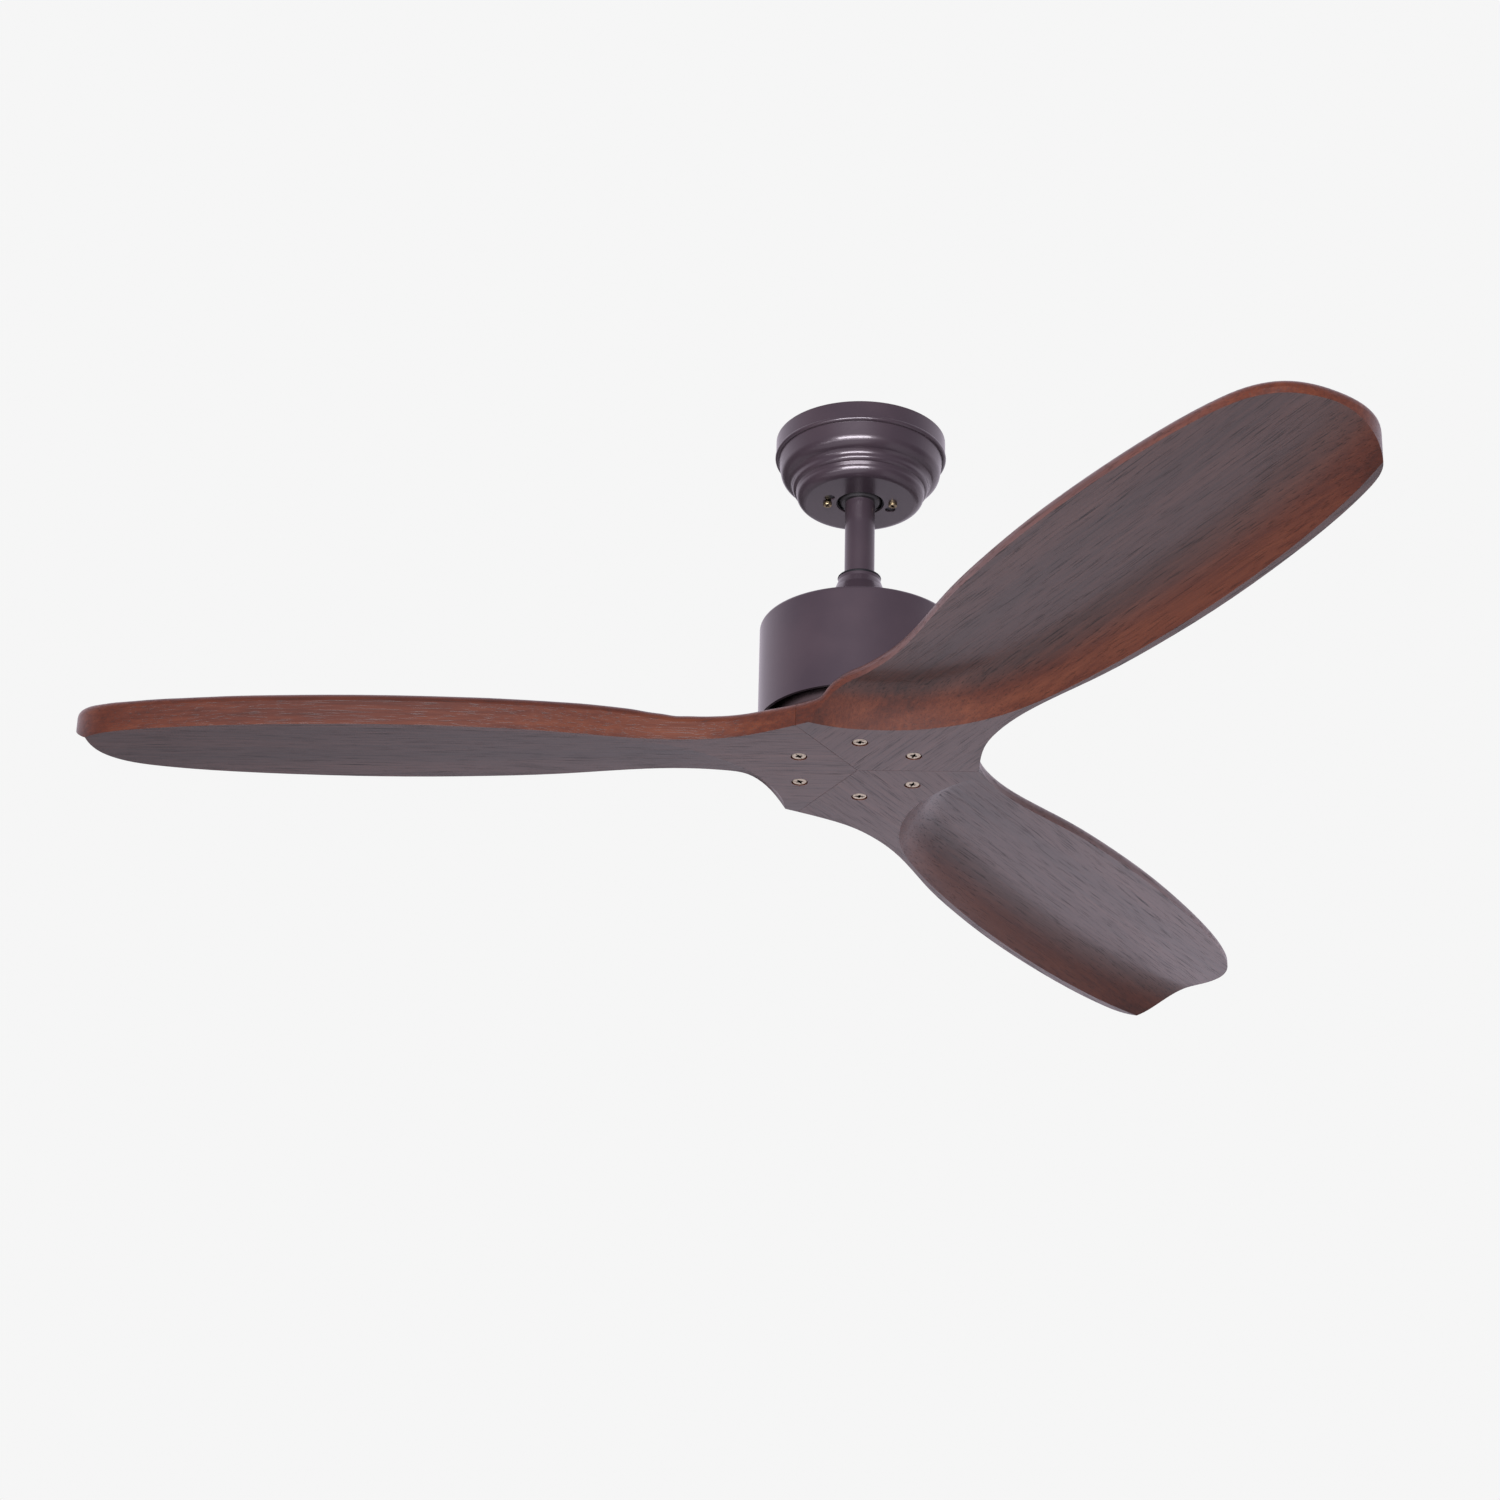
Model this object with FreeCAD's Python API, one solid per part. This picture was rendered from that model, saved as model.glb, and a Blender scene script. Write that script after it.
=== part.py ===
"""Three-blade wooden ceiling fan with a ball-hung down rod.

Every part is modelled with its height measured up from the flat underside of the
blades, on the fan's upright axis. save() then lowers it by the fan's full height,
so that the finished frame has z = 0 at the ceiling and the fan hanging below it.
Lengths are millimetres.
"""
import FreeCAD, Part
import math
import os

Vector = FreeCAD.Vector
UP = Vector(0, 0, 1)
CENTRE = Vector(0, 0, 0)

# ---- driving dimensions ------------------------------------------------------

FAN_RADIUS = 661.0
FAN_HEIGHT = 316.0
CLEARANCE = 0.05            # radial running clearance of shafts, pins and screws

CANOPY_RADIUS = 74.3
CANOPY_HEIGHT = 60.0
CANOPY_SHEET = 1.2
CANOPY_HOLE_RADIUS = 21.0

BALL_RADIUS = 22.0
BALL_HEIGHT = 270.5         # the centre that the fan tilts about
BALL_PLAY = 0.3             # between ball, liner and dish
LINER_WALL = 1.4
DISH_WALL = 1.8

ROD_RADIUS = 13.0
ROD_BORE = 11.0
ROD_BOTTOM = 164.0
ROD_TOP = 288.0

HOUSING_RADIUS = 85.1
HOUSING_BOTTOM = 40.5
HOUSING_TOP = 132.0
HOUSING_SHEET = 1.5
HOUSING_CORNER = 3.0

SHAFT_RADIUS = 10.0
SHAFT_BORE = 5.5
SHAFT_BOTTOM = 30.0
SHAFT_TOP = 148.0

BLADE_DIRECTIONS = (180.0, -60.0, 60.0)
ROOT_THICKNESS = 20.0
SEAM_GAP = 0.3
BLADE_SCREW_X = 49.0        # along the blade from the axis
BLADE_SCREW_Y = 26.0        # either side of the blade's middle line

CANOPY_SCREW_RADIUS = 28.5
KEYHOLE_TURN = 21.6         # degrees the canopy turns to come off its screws


# ---- small shape helpers -----------------------------------------------------

def disc(radius, low, high, x=0.0, y=0.0):
    """An upright cylinder between two heights."""
    return Part.makeCylinder(radius, high - low, Vector(x, y, low), UP)


def tube(inner, outer, low, high, x=0.0, y=0.0):
    """An upright hollow cylinder between two heights."""
    hole = disc(inner, low - 1, high + 1, x, y)
    return disc(outer, low, high, x, y).cut(hole)


def block(x_range, y_range, z_range):
    """A box between the two ends of each range."""
    corner = Vector(x_range[0], y_range[0], z_range[0])
    return Part.makeBox(x_range[1] - x_range[0], y_range[1] - y_range[0],
                        z_range[1] - z_range[0], corner)


def bar(radius, start, end):
    """A round bar from one point to another."""
    along = end - start
    return Part.makeCylinder(radius, along.Length, start, along)


def turned(shape, degrees):
    """A copy turned about the fan's axis."""
    copy = shape.copy()
    copy.rotate(CENTRE, UP, degrees)
    return copy


def ring_of(shape, count, start=0.0):
    """Copies spread evenly about the fan's axis."""
    return [turned(shape, start + 360.0 * index / count) for index in range(count)]


def at(radius, height):
    """A point of a turned outline: distance from the axis, and height."""
    return Vector(radius, 0, height)


def line(start, end):
    return Part.makeLine(start, end)


def arc(start, middle, end):
    return Part.Arc(start, middle, end).toShape()


def spun(edges):
    """The solid that a closed outline sweeps in a full turn about the axis."""
    face = Part.Face(Part.Wire(Part.__sortEdges__(edges)))
    return face.revolve(CENTRE, UP, 360)


def cut_all(shape, tools):
    for tool in tools:
        shape = shape.cut(tool)
    return shape


def pan_screw(shank, length, head, head_height, cross):
    """A cross-recess screw whose head rests at height 0 and points down, shank up."""
    dome_radius = (head ** 2 + head_height ** 2) / (2 * head_height)
    dome = Part.makeSphere(dome_radius, Vector(0, 0, dome_radius - head_height))
    cap = dome.common(disc(head, -head_height, 0))
    slot = block((-cross, cross), (-cross * 0.22, cross * 0.22),
                 (-head_height - 1, -head_height * 0.45))
    recess = slot.fuse(turned(slot, 90))
    return cap.cut(recess).fuse(disc(shank, 0, length)).removeSplitter()


def placed(shape, x, y, z):
    copy = shape.copy()
    copy.translate(Vector(x, y, z))
    return copy


def flipped(shape):
    """Turned upside down about the X axis."""
    copy = shape.copy()
    copy.rotate(CENTRE, Vector(1, 0, 0), 180)
    return copy


os.makedirs("parts", exist_ok=True)


def save(name, *shapes):
    """Write one node, lowered so that the ceiling is at z = 0."""
    solids = []
    for shape in shapes:
        solids.extend(shape.Solids)
    lowered = []
    for solid in solids:
        copy = solid.copy()
        copy.translate(Vector(0, 0, -FAN_HEIGHT))
        if not copy.isValid():
            print("NOT VALID", name)
        lowered.append(copy)
    whole = lowered[0] if len(lowered) == 1 else Part.Compound(lowered)
    whole.exportStep("parts/" + name + ".step")
    volume = sum(solid.Volume for solid in lowered) / 1000
    print("%-28s %2d solid(s) %8.1f cm3" % (name, len(lowered), volume))


# ---- canopy and hanger bracket -------------------------------------------------

CANOPY_BOTTOM = FAN_HEIGHT - CANOPY_HEIGHT
CANOPY_FLOOR = CANOPY_BOTTOM + CANOPY_SHEET


def canopy_body(inset):
    """The turned canopy form, or the space inside it when inset by the sheet.

    From the ceiling down: a straight rim, a rolled bead, a slightly tapered band,
    a round shoulder, a cove with a lip, and a smaller rounded cup with a flat end.
    """
    top = FAN_HEIGHT + (1.0 if inset else 0.0)
    rim = at(CANOPY_RADIUS - inset, top)
    rim_end = at(CANOPY_RADIUS - inset, FAN_HEIGHT - 14.5)
    bead = at(CANOPY_RADIUS + 0.7 - inset, FAN_HEIGHT - 16.0)
    band = at(CANOPY_RADIUS - 2.4 - inset, FAN_HEIGHT - 18.2 + inset)
    if inset:
        bead_edge = line(rim_end, band)
    else:
        bead_edge = arc(rim_end, bead, band)
    shoulder = at(69.9 - inset, FAN_HEIGHT - 30.5 + inset * 0.3)
    shoulder_middle = at(67.6 - inset * 0.8, FAN_HEIGHT - 35.6 + inset * 0.6)
    shoulder_end = at(62.6 - inset * 0.4, FAN_HEIGHT - 38.9 + inset)
    cove_middle = at(60.2 - inset * 0.9, FAN_HEIGHT - 41.3 + inset)
    cove_end = at(59.5 - inset, FAN_HEIGHT - 44.6 + inset * 0.5)
    lip_middle = at(58.9 - inset, FAN_HEIGHT - 46.8 + inset * 0.6)
    lip_end = at(56.6 - inset, FAN_HEIGHT - 48.6 + inset)
    cup = at(55.8 - inset, FAN_HEIGHT - 51.5 + inset * 0.3)
    cup_middle = at(53.3 - inset * 0.7, CANOPY_BOTTOM + 2.6 + inset * 0.7)
    floor_edge = at(47.4, CANOPY_BOTTOM + inset)
    floor_centre = at(0, CANOPY_BOTTOM + inset)
    return spun([
        line(at(0, top), rim),
        line(rim, rim_end),
        bead_edge,
        line(band, shoulder),
        arc(shoulder, shoulder_middle, shoulder_end),
        arc(shoulder_end, cove_middle, cove_end),
        arc(cove_end, lip_middle, lip_end),
        line(lip_end, cup),
        arc(cup, cup_middle, floor_edge),
        line(floor_edge, floor_centre),
        line(floor_centre, at(0, top)),
    ])


def keyhole(angle):
    """A slot round the screw's place, and the hole that its head passes through."""
    low = CANOPY_BOTTOM - 1
    high = CANOPY_FLOOR + 1
    slot_half = 2.5
    head_hole = 4.6
    section = Part.Face(Part.makePolygon([
        at(CANOPY_SCREW_RADIUS - slot_half, low),
        at(CANOPY_SCREW_RADIUS + slot_half, low),
        at(CANOPY_SCREW_RADIUS + slot_half, high),
        at(CANOPY_SCREW_RADIUS - slot_half, high),
        at(CANOPY_SCREW_RADIUS - slot_half, low),
    ]))
    slot = section.revolve(CENTRE, UP, KEYHOLE_TURN)
    end = disc(slot_half, low, high, CANOPY_SCREW_RADIUS)
    entry = turned(disc(head_hole, low, high, CANOPY_SCREW_RADIUS), KEYHOLE_TURN)
    return turned(slot.fuse(end).fuse(entry), angle)


def canopy():
    shell = canopy_body(0.0).cut(canopy_body(CANOPY_SHEET))
    shell = shell.cut(disc(CANOPY_HOLE_RADIUS, CANOPY_BOTTOM - 1, CANOPY_FLOOR + 1))
    return cut_all(shell, [keyhole(0), keyhole(180)])


BRACKET_SHEET = 2.5
PLATE_LENGTH = 130.0
PLATE_WIDTH = 54.0
SLOT_SPACING = 104.0
SLOT_LENGTH = 18.0
SLOT_RADIUS = 3.5
CABLE_HOLE_RADIUS = 10.0
LEG_INSIDE = 38.0
LEG_OUTSIDE = LEG_INSIDE + BRACKET_SHEET
LEG_WIDTH = 36.0
SEAT_BOTTOM = CANOPY_FLOOR
SEAT_TOP = SEAT_BOTTOM + BRACKET_SHEET
SEAT_HALF_WIDTH = 27.0
ENTRY_HALF_WIDTH = ROD_RADIUS + 0.6
LINER_INNER = BALL_RADIUS + BALL_PLAY
LINER_OUTER = LINER_INNER + LINER_WALL
DISH_INNER = LINER_OUTER + BALL_PLAY
DISH_OUTER = DISH_INNER + DISH_WALL
LINER_DROP = 10.8           # from the ball's centre to the liner's lower edge
EARTH_SCREW = (25.0, -18.0)
TERMINAL_HEIGHT = 11.0
TERMINAL_RECESS = 2.6       # where a terminal screw's head sits
TERMINAL_SCREW = 1.2
TERMINAL_PLACE = 19.0       # the strip's middle, to the back of the cable hole
SMALL_SCREW = 2.0           # shank radius of the M4 screws


def spherical_shell(inner, outer, low, high):
    """A zone of a hollow ball about the ball joint's centre."""
    middle = Vector(0, 0, BALL_HEIGHT)
    shell = Part.makeSphere(outer, middle).cut(Part.makeSphere(inner, middle))
    return shell.common(disc(outer + 1, low, high))


def side_entry(low, high):
    """The way in for the rod, from the back of the bracket."""
    return block((-ENTRY_HALF_WIDTH, ENTRY_HALF_WIDTH), (0, PLATE_WIDTH), (low, high))


def hanger_bracket():
    """The strap that is screwed to the ceiling through its two slots."""
    plate_low = FAN_HEIGHT - BRACKET_SHEET
    half_length = PLATE_LENGTH / 2
    half_width = PLATE_WIDTH / 2
    plate = block((-half_length, half_length), (-half_width, half_width),
                  (plate_low, FAN_HEIGHT))
    holes = [disc(CABLE_HOLE_RADIUS, plate_low - 1, FAN_HEIGHT + 1)]
    for side in (-1, 1):
        middle = side * SLOT_SPACING / 2
        reach = SLOT_LENGTH / 2 - SLOT_RADIUS
        holes.append(block((middle - reach, middle + reach), (-SLOT_RADIUS, SLOT_RADIUS),
                           (plate_low - 1, FAN_HEIGHT + 1)))
        for end in (-reach, reach):
            holes.append(disc(SLOT_RADIUS, plate_low - 1, FAN_HEIGHT + 1, middle + end))
    holes.append(disc(SMALL_SCREW + CLEARANCE, plate_low - 1, FAN_HEIGHT + 1, *EARTH_SCREW))
    return cut_all(plate, holes)


def bracket_legs():
    """The two uprights that are welded between the strap and the seat dish."""
    plate_low = FAN_HEIGHT - BRACKET_SHEET
    legs = []
    for side in (-1, 1):
        near, far = sorted((side * LEG_INSIDE, side * LEG_OUTSIDE))
        legs.append(block((near, far), (-LEG_WIDTH / 2, LEG_WIDTH / 2), (SEAT_TOP, plate_low)))
    return legs


def ball_seat_dish():
    """The pressed plate across the feet of the legs, with the dish that holds the ball."""
    whole = block((-LEG_OUTSIDE, LEG_OUTSIDE), (-SEAT_HALF_WIDTH, SEAT_HALF_WIDTH),
                  (SEAT_BOTTOM, SEAT_TOP))
    whole = whole.cut(Part.makeSphere(DISH_INNER, Vector(0, 0, BALL_HEIGHT)))
    dish = spherical_shell(DISH_INNER, DISH_OUTER, SEAT_BOTTOM, BALL_HEIGHT)
    post = block((-1.25, 1.25), (-DISH_OUTER, -DISH_INNER - 0.1),
                 (BALL_HEIGHT - 2, BALL_HEIGHT + 3))
    finger = block((-1.25, 1.25), (-DISH_OUTER, -BALL_RADIUS + 1.6),
                   (BALL_HEIGHT + 1, BALL_HEIGHT + 3))
    whole = whole.fuse(dish).fuse(post).fuse(finger)
    whole = whole.cut(side_entry(SEAT_BOTTOM - 1, BALL_HEIGHT + 1))
    screw_hole = disc(SMALL_SCREW + CLEARANCE, SEAT_BOTTOM - 1, SEAT_TOP + 1,
                      CANOPY_SCREW_RADIUS)
    return cut_all(whole, [screw_hole, turned(screw_hole, 180)]).removeSplitter()


def ball_seat_liner():
    liner = spherical_shell(LINER_INNER, LINER_OUTER, BALL_HEIGHT - LINER_DROP, BALL_HEIGHT)
    finger_notch = block((-3.5, 3.5), (-LINER_OUTER - 1, -10),
                         (BALL_HEIGHT - 7.0, BALL_HEIGHT + 1))
    liner = liner.cut(finger_notch)
    return liner.cut(side_entry(BALL_HEIGHT - LINER_DROP - 1, BALL_HEIGHT + 1))


def terminal_block():
    high = FAN_HEIGHT - BRACKET_SHEET
    low = high - TERMINAL_HEIGHT
    strip = block((-16, 16), (TERMINAL_PLACE - 6, TERMINAL_PLACE + 6), (low, high))
    tools = []
    for pole in (-1, 0, 1):
        x = pole * 10.0
        tools.append(disc(2.4, low - 1, low + TERMINAL_RECESS, x, TERMINAL_PLACE))
        tools.append(disc(TERMINAL_SCREW + CLEARANCE, low, low + 7.5, x, TERMINAL_PLACE))
        tools.append(bar(1.8, Vector(x, TERMINAL_PLACE - 8, high - 5),
                         Vector(x, TERMINAL_PLACE, high - 5)))
    for groove in (-5.0, 5.0):
        tools.append(block((groove - 0.8, groove + 0.8),
                           (TERMINAL_PLACE - 7, TERMINAL_PLACE + 7), (low - 1, low + 3)))
    return cut_all(strip, tools)


save("canopy", canopy())
save("hanger_bracket", hanger_bracket())
save("bracket_legs", *bracket_legs())
save("ball_seat_dish", ball_seat_dish())
canopy_screw = pan_screw(SMALL_SCREW, 9.0, 3.9, 2.6, 2.2)
save("canopy_screws", *ring_of(placed(canopy_screw, CANOPY_SCREW_RADIUS, 0, CANOPY_BOTTOM), 2))
save("terminal_block", terminal_block())
terminal_screw = pan_screw(TERMINAL_SCREW, 4.5, 2.1, 1.4, 1.2)
terminal_ledge = FAN_HEIGHT - BRACKET_SHEET - TERMINAL_HEIGHT + TERMINAL_RECESS
save("terminal_screws", *[
    placed(terminal_screw, x, TERMINAL_PLACE, terminal_ledge) for x in (-10.0, 0.0, 10.0)])
earth_screw = pan_screw(SMALL_SCREW, BRACKET_SHEET - 0.2, 4.2, 2.4, 2.2)
save("earth_screw", placed(earth_screw, *EARTH_SCREW, FAN_HEIGHT - BRACKET_SHEET))
save("ball_seat_liner", ball_seat_liner())


# ---- ball, rod and motor coupling ----------------------------------------------

PIN_RADIUS = 3.0
CLEVIS_HEIGHT = 157.0       # of the clevis pin, above the underside
COUPLING_RADIUS = 17.0
COUPLING_TOP = 168.0
COUPLING_FLANGE = 4.0
COUPLING_FLANGE_RADIUS = 30.0
COUPLING_FOOT = 1.8         # extra radius where the boss meets its flange
HOUSING_SCREW_CIRCLE = 23.5
HOUSING_SCREW = 2.5
SET_SCREW = 2.5
SET_SCREW_HEIGHT = 163.0    # of the coupling's set screws, just above the clevis pin


def cross_pin(radius, half_length, height):
    return bar(radius, Vector(-half_length, 0, height), Vector(half_length, 0, height))


def hanger_ball():
    middle = Vector(0, 0, BALL_HEIGHT)
    ball = Part.makeSphere(BALL_RADIUS, middle)
    ball = ball.common(disc(BALL_RADIUS + 1, BALL_HEIGHT - 15.0, BALL_HEIGHT + 15.0))
    finger_groove = block((-4, 4), (-BALL_RADIUS - 1, -BALL_RADIUS + 3.5),
                          (BALL_HEIGHT - 20, BALL_HEIGHT + 20))
    set_screw_hole = bar(SMALL_SCREW + CLEARANCE, Vector(0, ROD_RADIUS - 1, BALL_HEIGHT + 9),
                         Vector(0, BALL_RADIUS + 1, BALL_HEIGHT + 9))
    return cut_all(ball, [
        disc(ROD_RADIUS + CLEARANCE, BALL_HEIGHT - 20, BALL_HEIGHT + 20),
        cross_pin(PIN_RADIUS + CLEARANCE, BALL_RADIUS + 1, BALL_HEIGHT),
        finger_groove,
        set_screw_hole,
    ])


def grub_screw(radius, start, end):
    """A headless screw with a hexagon socket in its outer end."""
    along = (start - end).normalize()
    socket = bar(radius * 0.5, end + along * 2.0, end - along)
    return bar(radius, start, end).cut(socket)


def down_rod():
    rod = tube(ROD_BORE, ROD_RADIUS, ROD_BOTTOM - 14.0, ROD_TOP)
    return cut_all(rod, [
        cross_pin(PIN_RADIUS + CLEARANCE, ROD_RADIUS + 1, BALL_HEIGHT),
        cross_pin(PIN_RADIUS + CLEARANCE, ROD_RADIUS + 1, CLEVIS_HEIGHT),
    ])


def motor_coupling():
    flange_top = HOUSING_TOP + COUPLING_FLANGE
    body = disc(COUPLING_FLANGE_RADIUS, HOUSING_TOP, flange_top)
    body = body.fuse(disc(COUPLING_RADIUS, flange_top, COUPLING_TOP))
    cone = Part.makeCone(COUPLING_RADIUS + COUPLING_FOOT, COUPLING_RADIUS, 5.0,
                         Vector(0, 0, flange_top))
    body = body.fuse(cone)
    tools = [
        disc(SHAFT_RADIUS + CLEARANCE, HOUSING_TOP - 1, SHAFT_TOP),
        disc(SHAFT_BORE, SHAFT_TOP - 1, SHAFT_TOP + 3),
        disc(ROD_RADIUS + CLEARANCE, ROD_BOTTOM - 14.0, COUPLING_TOP + 1),
        cross_pin(PIN_RADIUS + CLEARANCE, COUPLING_RADIUS + 1, CLEVIS_HEIGHT),
    ]
    for side in (-1, 1):
        inner_end = Vector(0, side * (ROD_RADIUS - 0.5), SET_SCREW_HEIGHT)
        outer_end = Vector(0, side * (COUPLING_RADIUS + 1), SET_SCREW_HEIGHT)
        tools.append(bar(SET_SCREW + CLEARANCE, inner_end, outer_end))
    hole = disc(HOUSING_SCREW + CLEARANCE, HOUSING_TOP - 1, flange_top + 1, HOUSING_SCREW_CIRCLE)
    tools.extend(ring_of(hole, 4, 45))
    return cut_all(body, tools)


def clevis_pin():
    head = bar(4.4, Vector(-COUPLING_RADIUS - 2.2, 0, CLEVIS_HEIGHT),
               Vector(-COUPLING_RADIUS - 0.2, 0, CLEVIS_HEIGHT))
    stem = bar(PIN_RADIUS, Vector(-COUPLING_RADIUS - 1, 0, CLEVIS_HEIGHT),
               Vector(COUPLING_RADIUS + 3.6, 0, CLEVIS_HEIGHT))
    hole_x = COUPLING_RADIUS + 2.0
    hole = disc(0.9, CLEVIS_HEIGHT - 5, CLEVIS_HEIGHT + 5, hole_x)
    return head.fuse(stem).cut(hole)


def cotter_pin():
    """A spring pin through the clevis pin, with an eye below it."""
    x = COUPLING_RADIUS + 2.0
    stem = disc(0.8, CLEVIS_HEIGHT - 4.6, CLEVIS_HEIGHT + 5.0, x)
    eye = Part.makeTorus(2.0, 0.7, Vector(x, 0, CLEVIS_HEIGHT - 6.2), Vector(1, 0, 0))
    return stem.fuse(eye)


save("hanger_ball", hanger_ball())
save("ball_pin", cross_pin(PIN_RADIUS, 19.0, BALL_HEIGHT))
save("ball_set_screw", grub_screw(SMALL_SCREW, Vector(0, ROD_RADIUS + 0.1, BALL_HEIGHT + 9),
                                  Vector(0, 19.0, BALL_HEIGHT + 9)))
save("down_rod", down_rod())
save("motor_coupling", motor_coupling())
save("clevis_pin", clevis_pin())
save("cotter_pin", cotter_pin())
save("coupling_set_screws", *[
    grub_screw(SET_SCREW, Vector(0, side * (ROD_RADIUS + 0.1), SET_SCREW_HEIGHT),
               Vector(0, side * COUPLING_RADIUS, SET_SCREW_HEIGHT))
    for side in (-1, 1)])


# ---- coupling cover with its rubber ring ----------------------------------------

COVER_TOP = 180.6
COVER_NECK = 18.3
COVER_BASE = 40.0
COVER_SHEET = 1.2
COVER_REST_GAP = 0.3


def cover_body(inset):
    """A small bell: a wide foot on the housing and a narrow neck round the rod."""
    foot = HOUSING_TOP + COVER_REST_GAP - (1.0 if inset else 0.0)
    top = COVER_TOP + (1.0 if inset else 0.0)
    foot_edge = at(COVER_BASE - inset, foot)
    skirt = at(COVER_BASE - inset, HOUSING_TOP + 4.5)
    bell_middle = at(30.2 - inset * 0.8, 155.0 - inset * 0.4)
    bell_end = at(20.8 - inset, 171.5)
    neck = at(COVER_NECK - inset, 178.0)
    lip = at(COVER_NECK + 0.2 - inset, top)
    return spun([
        line(at(0, foot), foot_edge),
        line(foot_edge, skirt),
        arc(skirt, bell_middle, bell_end),
        line(bell_end, neck),
        line(neck, lip),
        line(lip, at(0, top)),
        line(at(0, top), at(0, foot)),
    ])


def collar_ring():
    """A flanged rubber ring: it plugs the cover's neck and grips the rod."""
    bore = ROD_RADIUS + 0.08
    plug = tube(bore, COVER_NECK - COVER_SHEET - CLEARANCE, COVER_TOP - 4.6, COVER_TOP)
    top = COVER_TOP + 2.0
    outer = 18.8
    rim = spun([
        line(at(bore, COVER_TOP), at(outer - 0.6, COVER_TOP)),
        arc(at(outer - 0.6, COVER_TOP), at(outer, COVER_TOP + 1.0), at(outer - 0.6, top)),
        line(at(outer - 0.6, top), at(bore, top)),
        line(at(bore, top), at(bore, COVER_TOP)),
    ])
    return plug.fuse(rim).removeSplitter()


save("coupling_cover", cover_body(0.0).cut(cover_body(COVER_SHEET)))
save("collar_ring", collar_ring())


# ---- motor housing, support plate and driver -------------------------------------

SUPPORT_PLATE = 4.0
SUPPORT_RADIUS = 34.0
BOARD_HEIGHT = 110.0
BOARD_THICKNESS = 1.6
BOARD_RADIUS = 58.0
STANDOFF_CIRCLE = 50.0
HEM_HEIGHT = 3.0
HEM_THICKNESS = 1.2


def housing_form(inset):
    top = HOUSING_TOP - inset
    side = HOUSING_RADIUS - inset
    low = HOUSING_BOTTOM - (1.0 if inset else 0.0)
    corner = HOUSING_CORNER - inset * 0.5
    bend = corner * (1 - math.sqrt(0.5))
    return spun([
        line(at(0, low), at(side, low)),
        line(at(side, low), at(side, top - corner)),
        arc(at(side, top - corner), at(side - bend, top - bend), at(side - corner, top)),
        line(at(side - corner, top), at(0, top)),
        line(at(0, top), at(0, low)),
    ])


def motor_housing():
    """A spun cup, open below, with a hem folded inwards along its lower edge."""
    shell = housing_form(0.0).cut(housing_form(HOUSING_SHEET))
    side = HOUSING_RADIUS - HOUSING_SHEET
    hem = tube(side - HEM_THICKNESS, side, HOUSING_BOTTOM, HOUSING_BOTTOM + HEM_HEIGHT)
    shell = shell.fuse(hem).removeSplitter()
    hole = disc(HOUSING_SCREW + CLEARANCE, HOUSING_TOP - 5, HOUSING_TOP + 1, HOUSING_SCREW_CIRCLE)
    shaft_hole = disc(SHAFT_RADIUS + CLEARANCE, HOUSING_TOP - 5, HOUSING_TOP + 1)
    return cut_all(shell, [shaft_hole] + ring_of(hole, 4, 45))


def housing_support_plate():
    high = HOUSING_TOP - HOUSING_SHEET
    plate = tube(SHAFT_RADIUS + CLEARANCE, SUPPORT_RADIUS, high - SUPPORT_PLATE, high)
    hole = disc(HOUSING_SCREW + CLEARANCE, high - SUPPORT_PLATE - 1, high + 1, HOUSING_SCREW_CIRCLE)
    return cut_all(plate, ring_of(hole, 4, 45))


def hexagon_nut(flats, bore, low, high):
    corner_radius = flats / math.sqrt(3)
    corners = [Vector(corner_radius * math.cos(math.radians(60 * side)),
                      corner_radius * math.sin(math.radians(60 * side)), low)
               for side in range(7)]
    body = Part.Face(Part.makePolygon(corners)).extrude(Vector(0, 0, high - low))
    return body.cut(disc(bore, low - 1, high + 1))


def driver_board():
    top = BOARD_HEIGHT + BOARD_THICKNESS
    board = tube(SHAFT_RADIUS + 4.0, BOARD_RADIUS, BOARD_HEIGHT, top)
    return cut_all(board, ring_of(disc(1.6, BOARD_HEIGHT - 1, top + 1, STANDOFF_CIRCLE), 3, 90))


def driver_components():
    """Capacitors, a choke and power packages standing on the board."""
    top = BOARD_HEIGHT + BOARD_THICKNESS
    parts = [disc(5.0, top, top + 13.0, 40, 10), disc(5.0, top, top + 13.0, 40, -4)]
    parts.append(tube(3.0, 8.0, top, top + 7.0, -42, 0))
    parts.append(block((10, 22), (36, 48), (top, top + 9)))
    for index in range(3):
        x = -12.0 + 11.0 * index
        parts.append(block((x - 3.5, x + 3.5), (-46, -42), (top, top + 10)))
    return parts


save("motor_housing", motor_housing())
housing_screw = flipped(pan_screw(HOUSING_SCREW, 12.5, 4.4, 3.0, 2.6))
save("housing_screws", *ring_of(
    placed(housing_screw, HOUSING_SCREW_CIRCLE, 0, HOUSING_TOP + COUPLING_FLANGE), 4, 45))
save("housing_support_plate", housing_support_plate())
plate_low = HOUSING_TOP - HOUSING_SHEET - SUPPORT_PLATE
save("shaft_nut", hexagon_nut(27.0, SHAFT_RADIUS + CLEARANCE, plate_low - 6.0, plate_low))
save("driver_board", driver_board())
save("driver_components", *driver_components())
standoff = disc(3.0, BOARD_HEIGHT + BOARD_THICKNESS, HOUSING_TOP - HOUSING_SHEET, STANDOFF_CIRCLE)
save("board_standoffs", *ring_of(standoff, 3, 90))


# ---- stator on its hollow shaft ---------------------------------------------------

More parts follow.
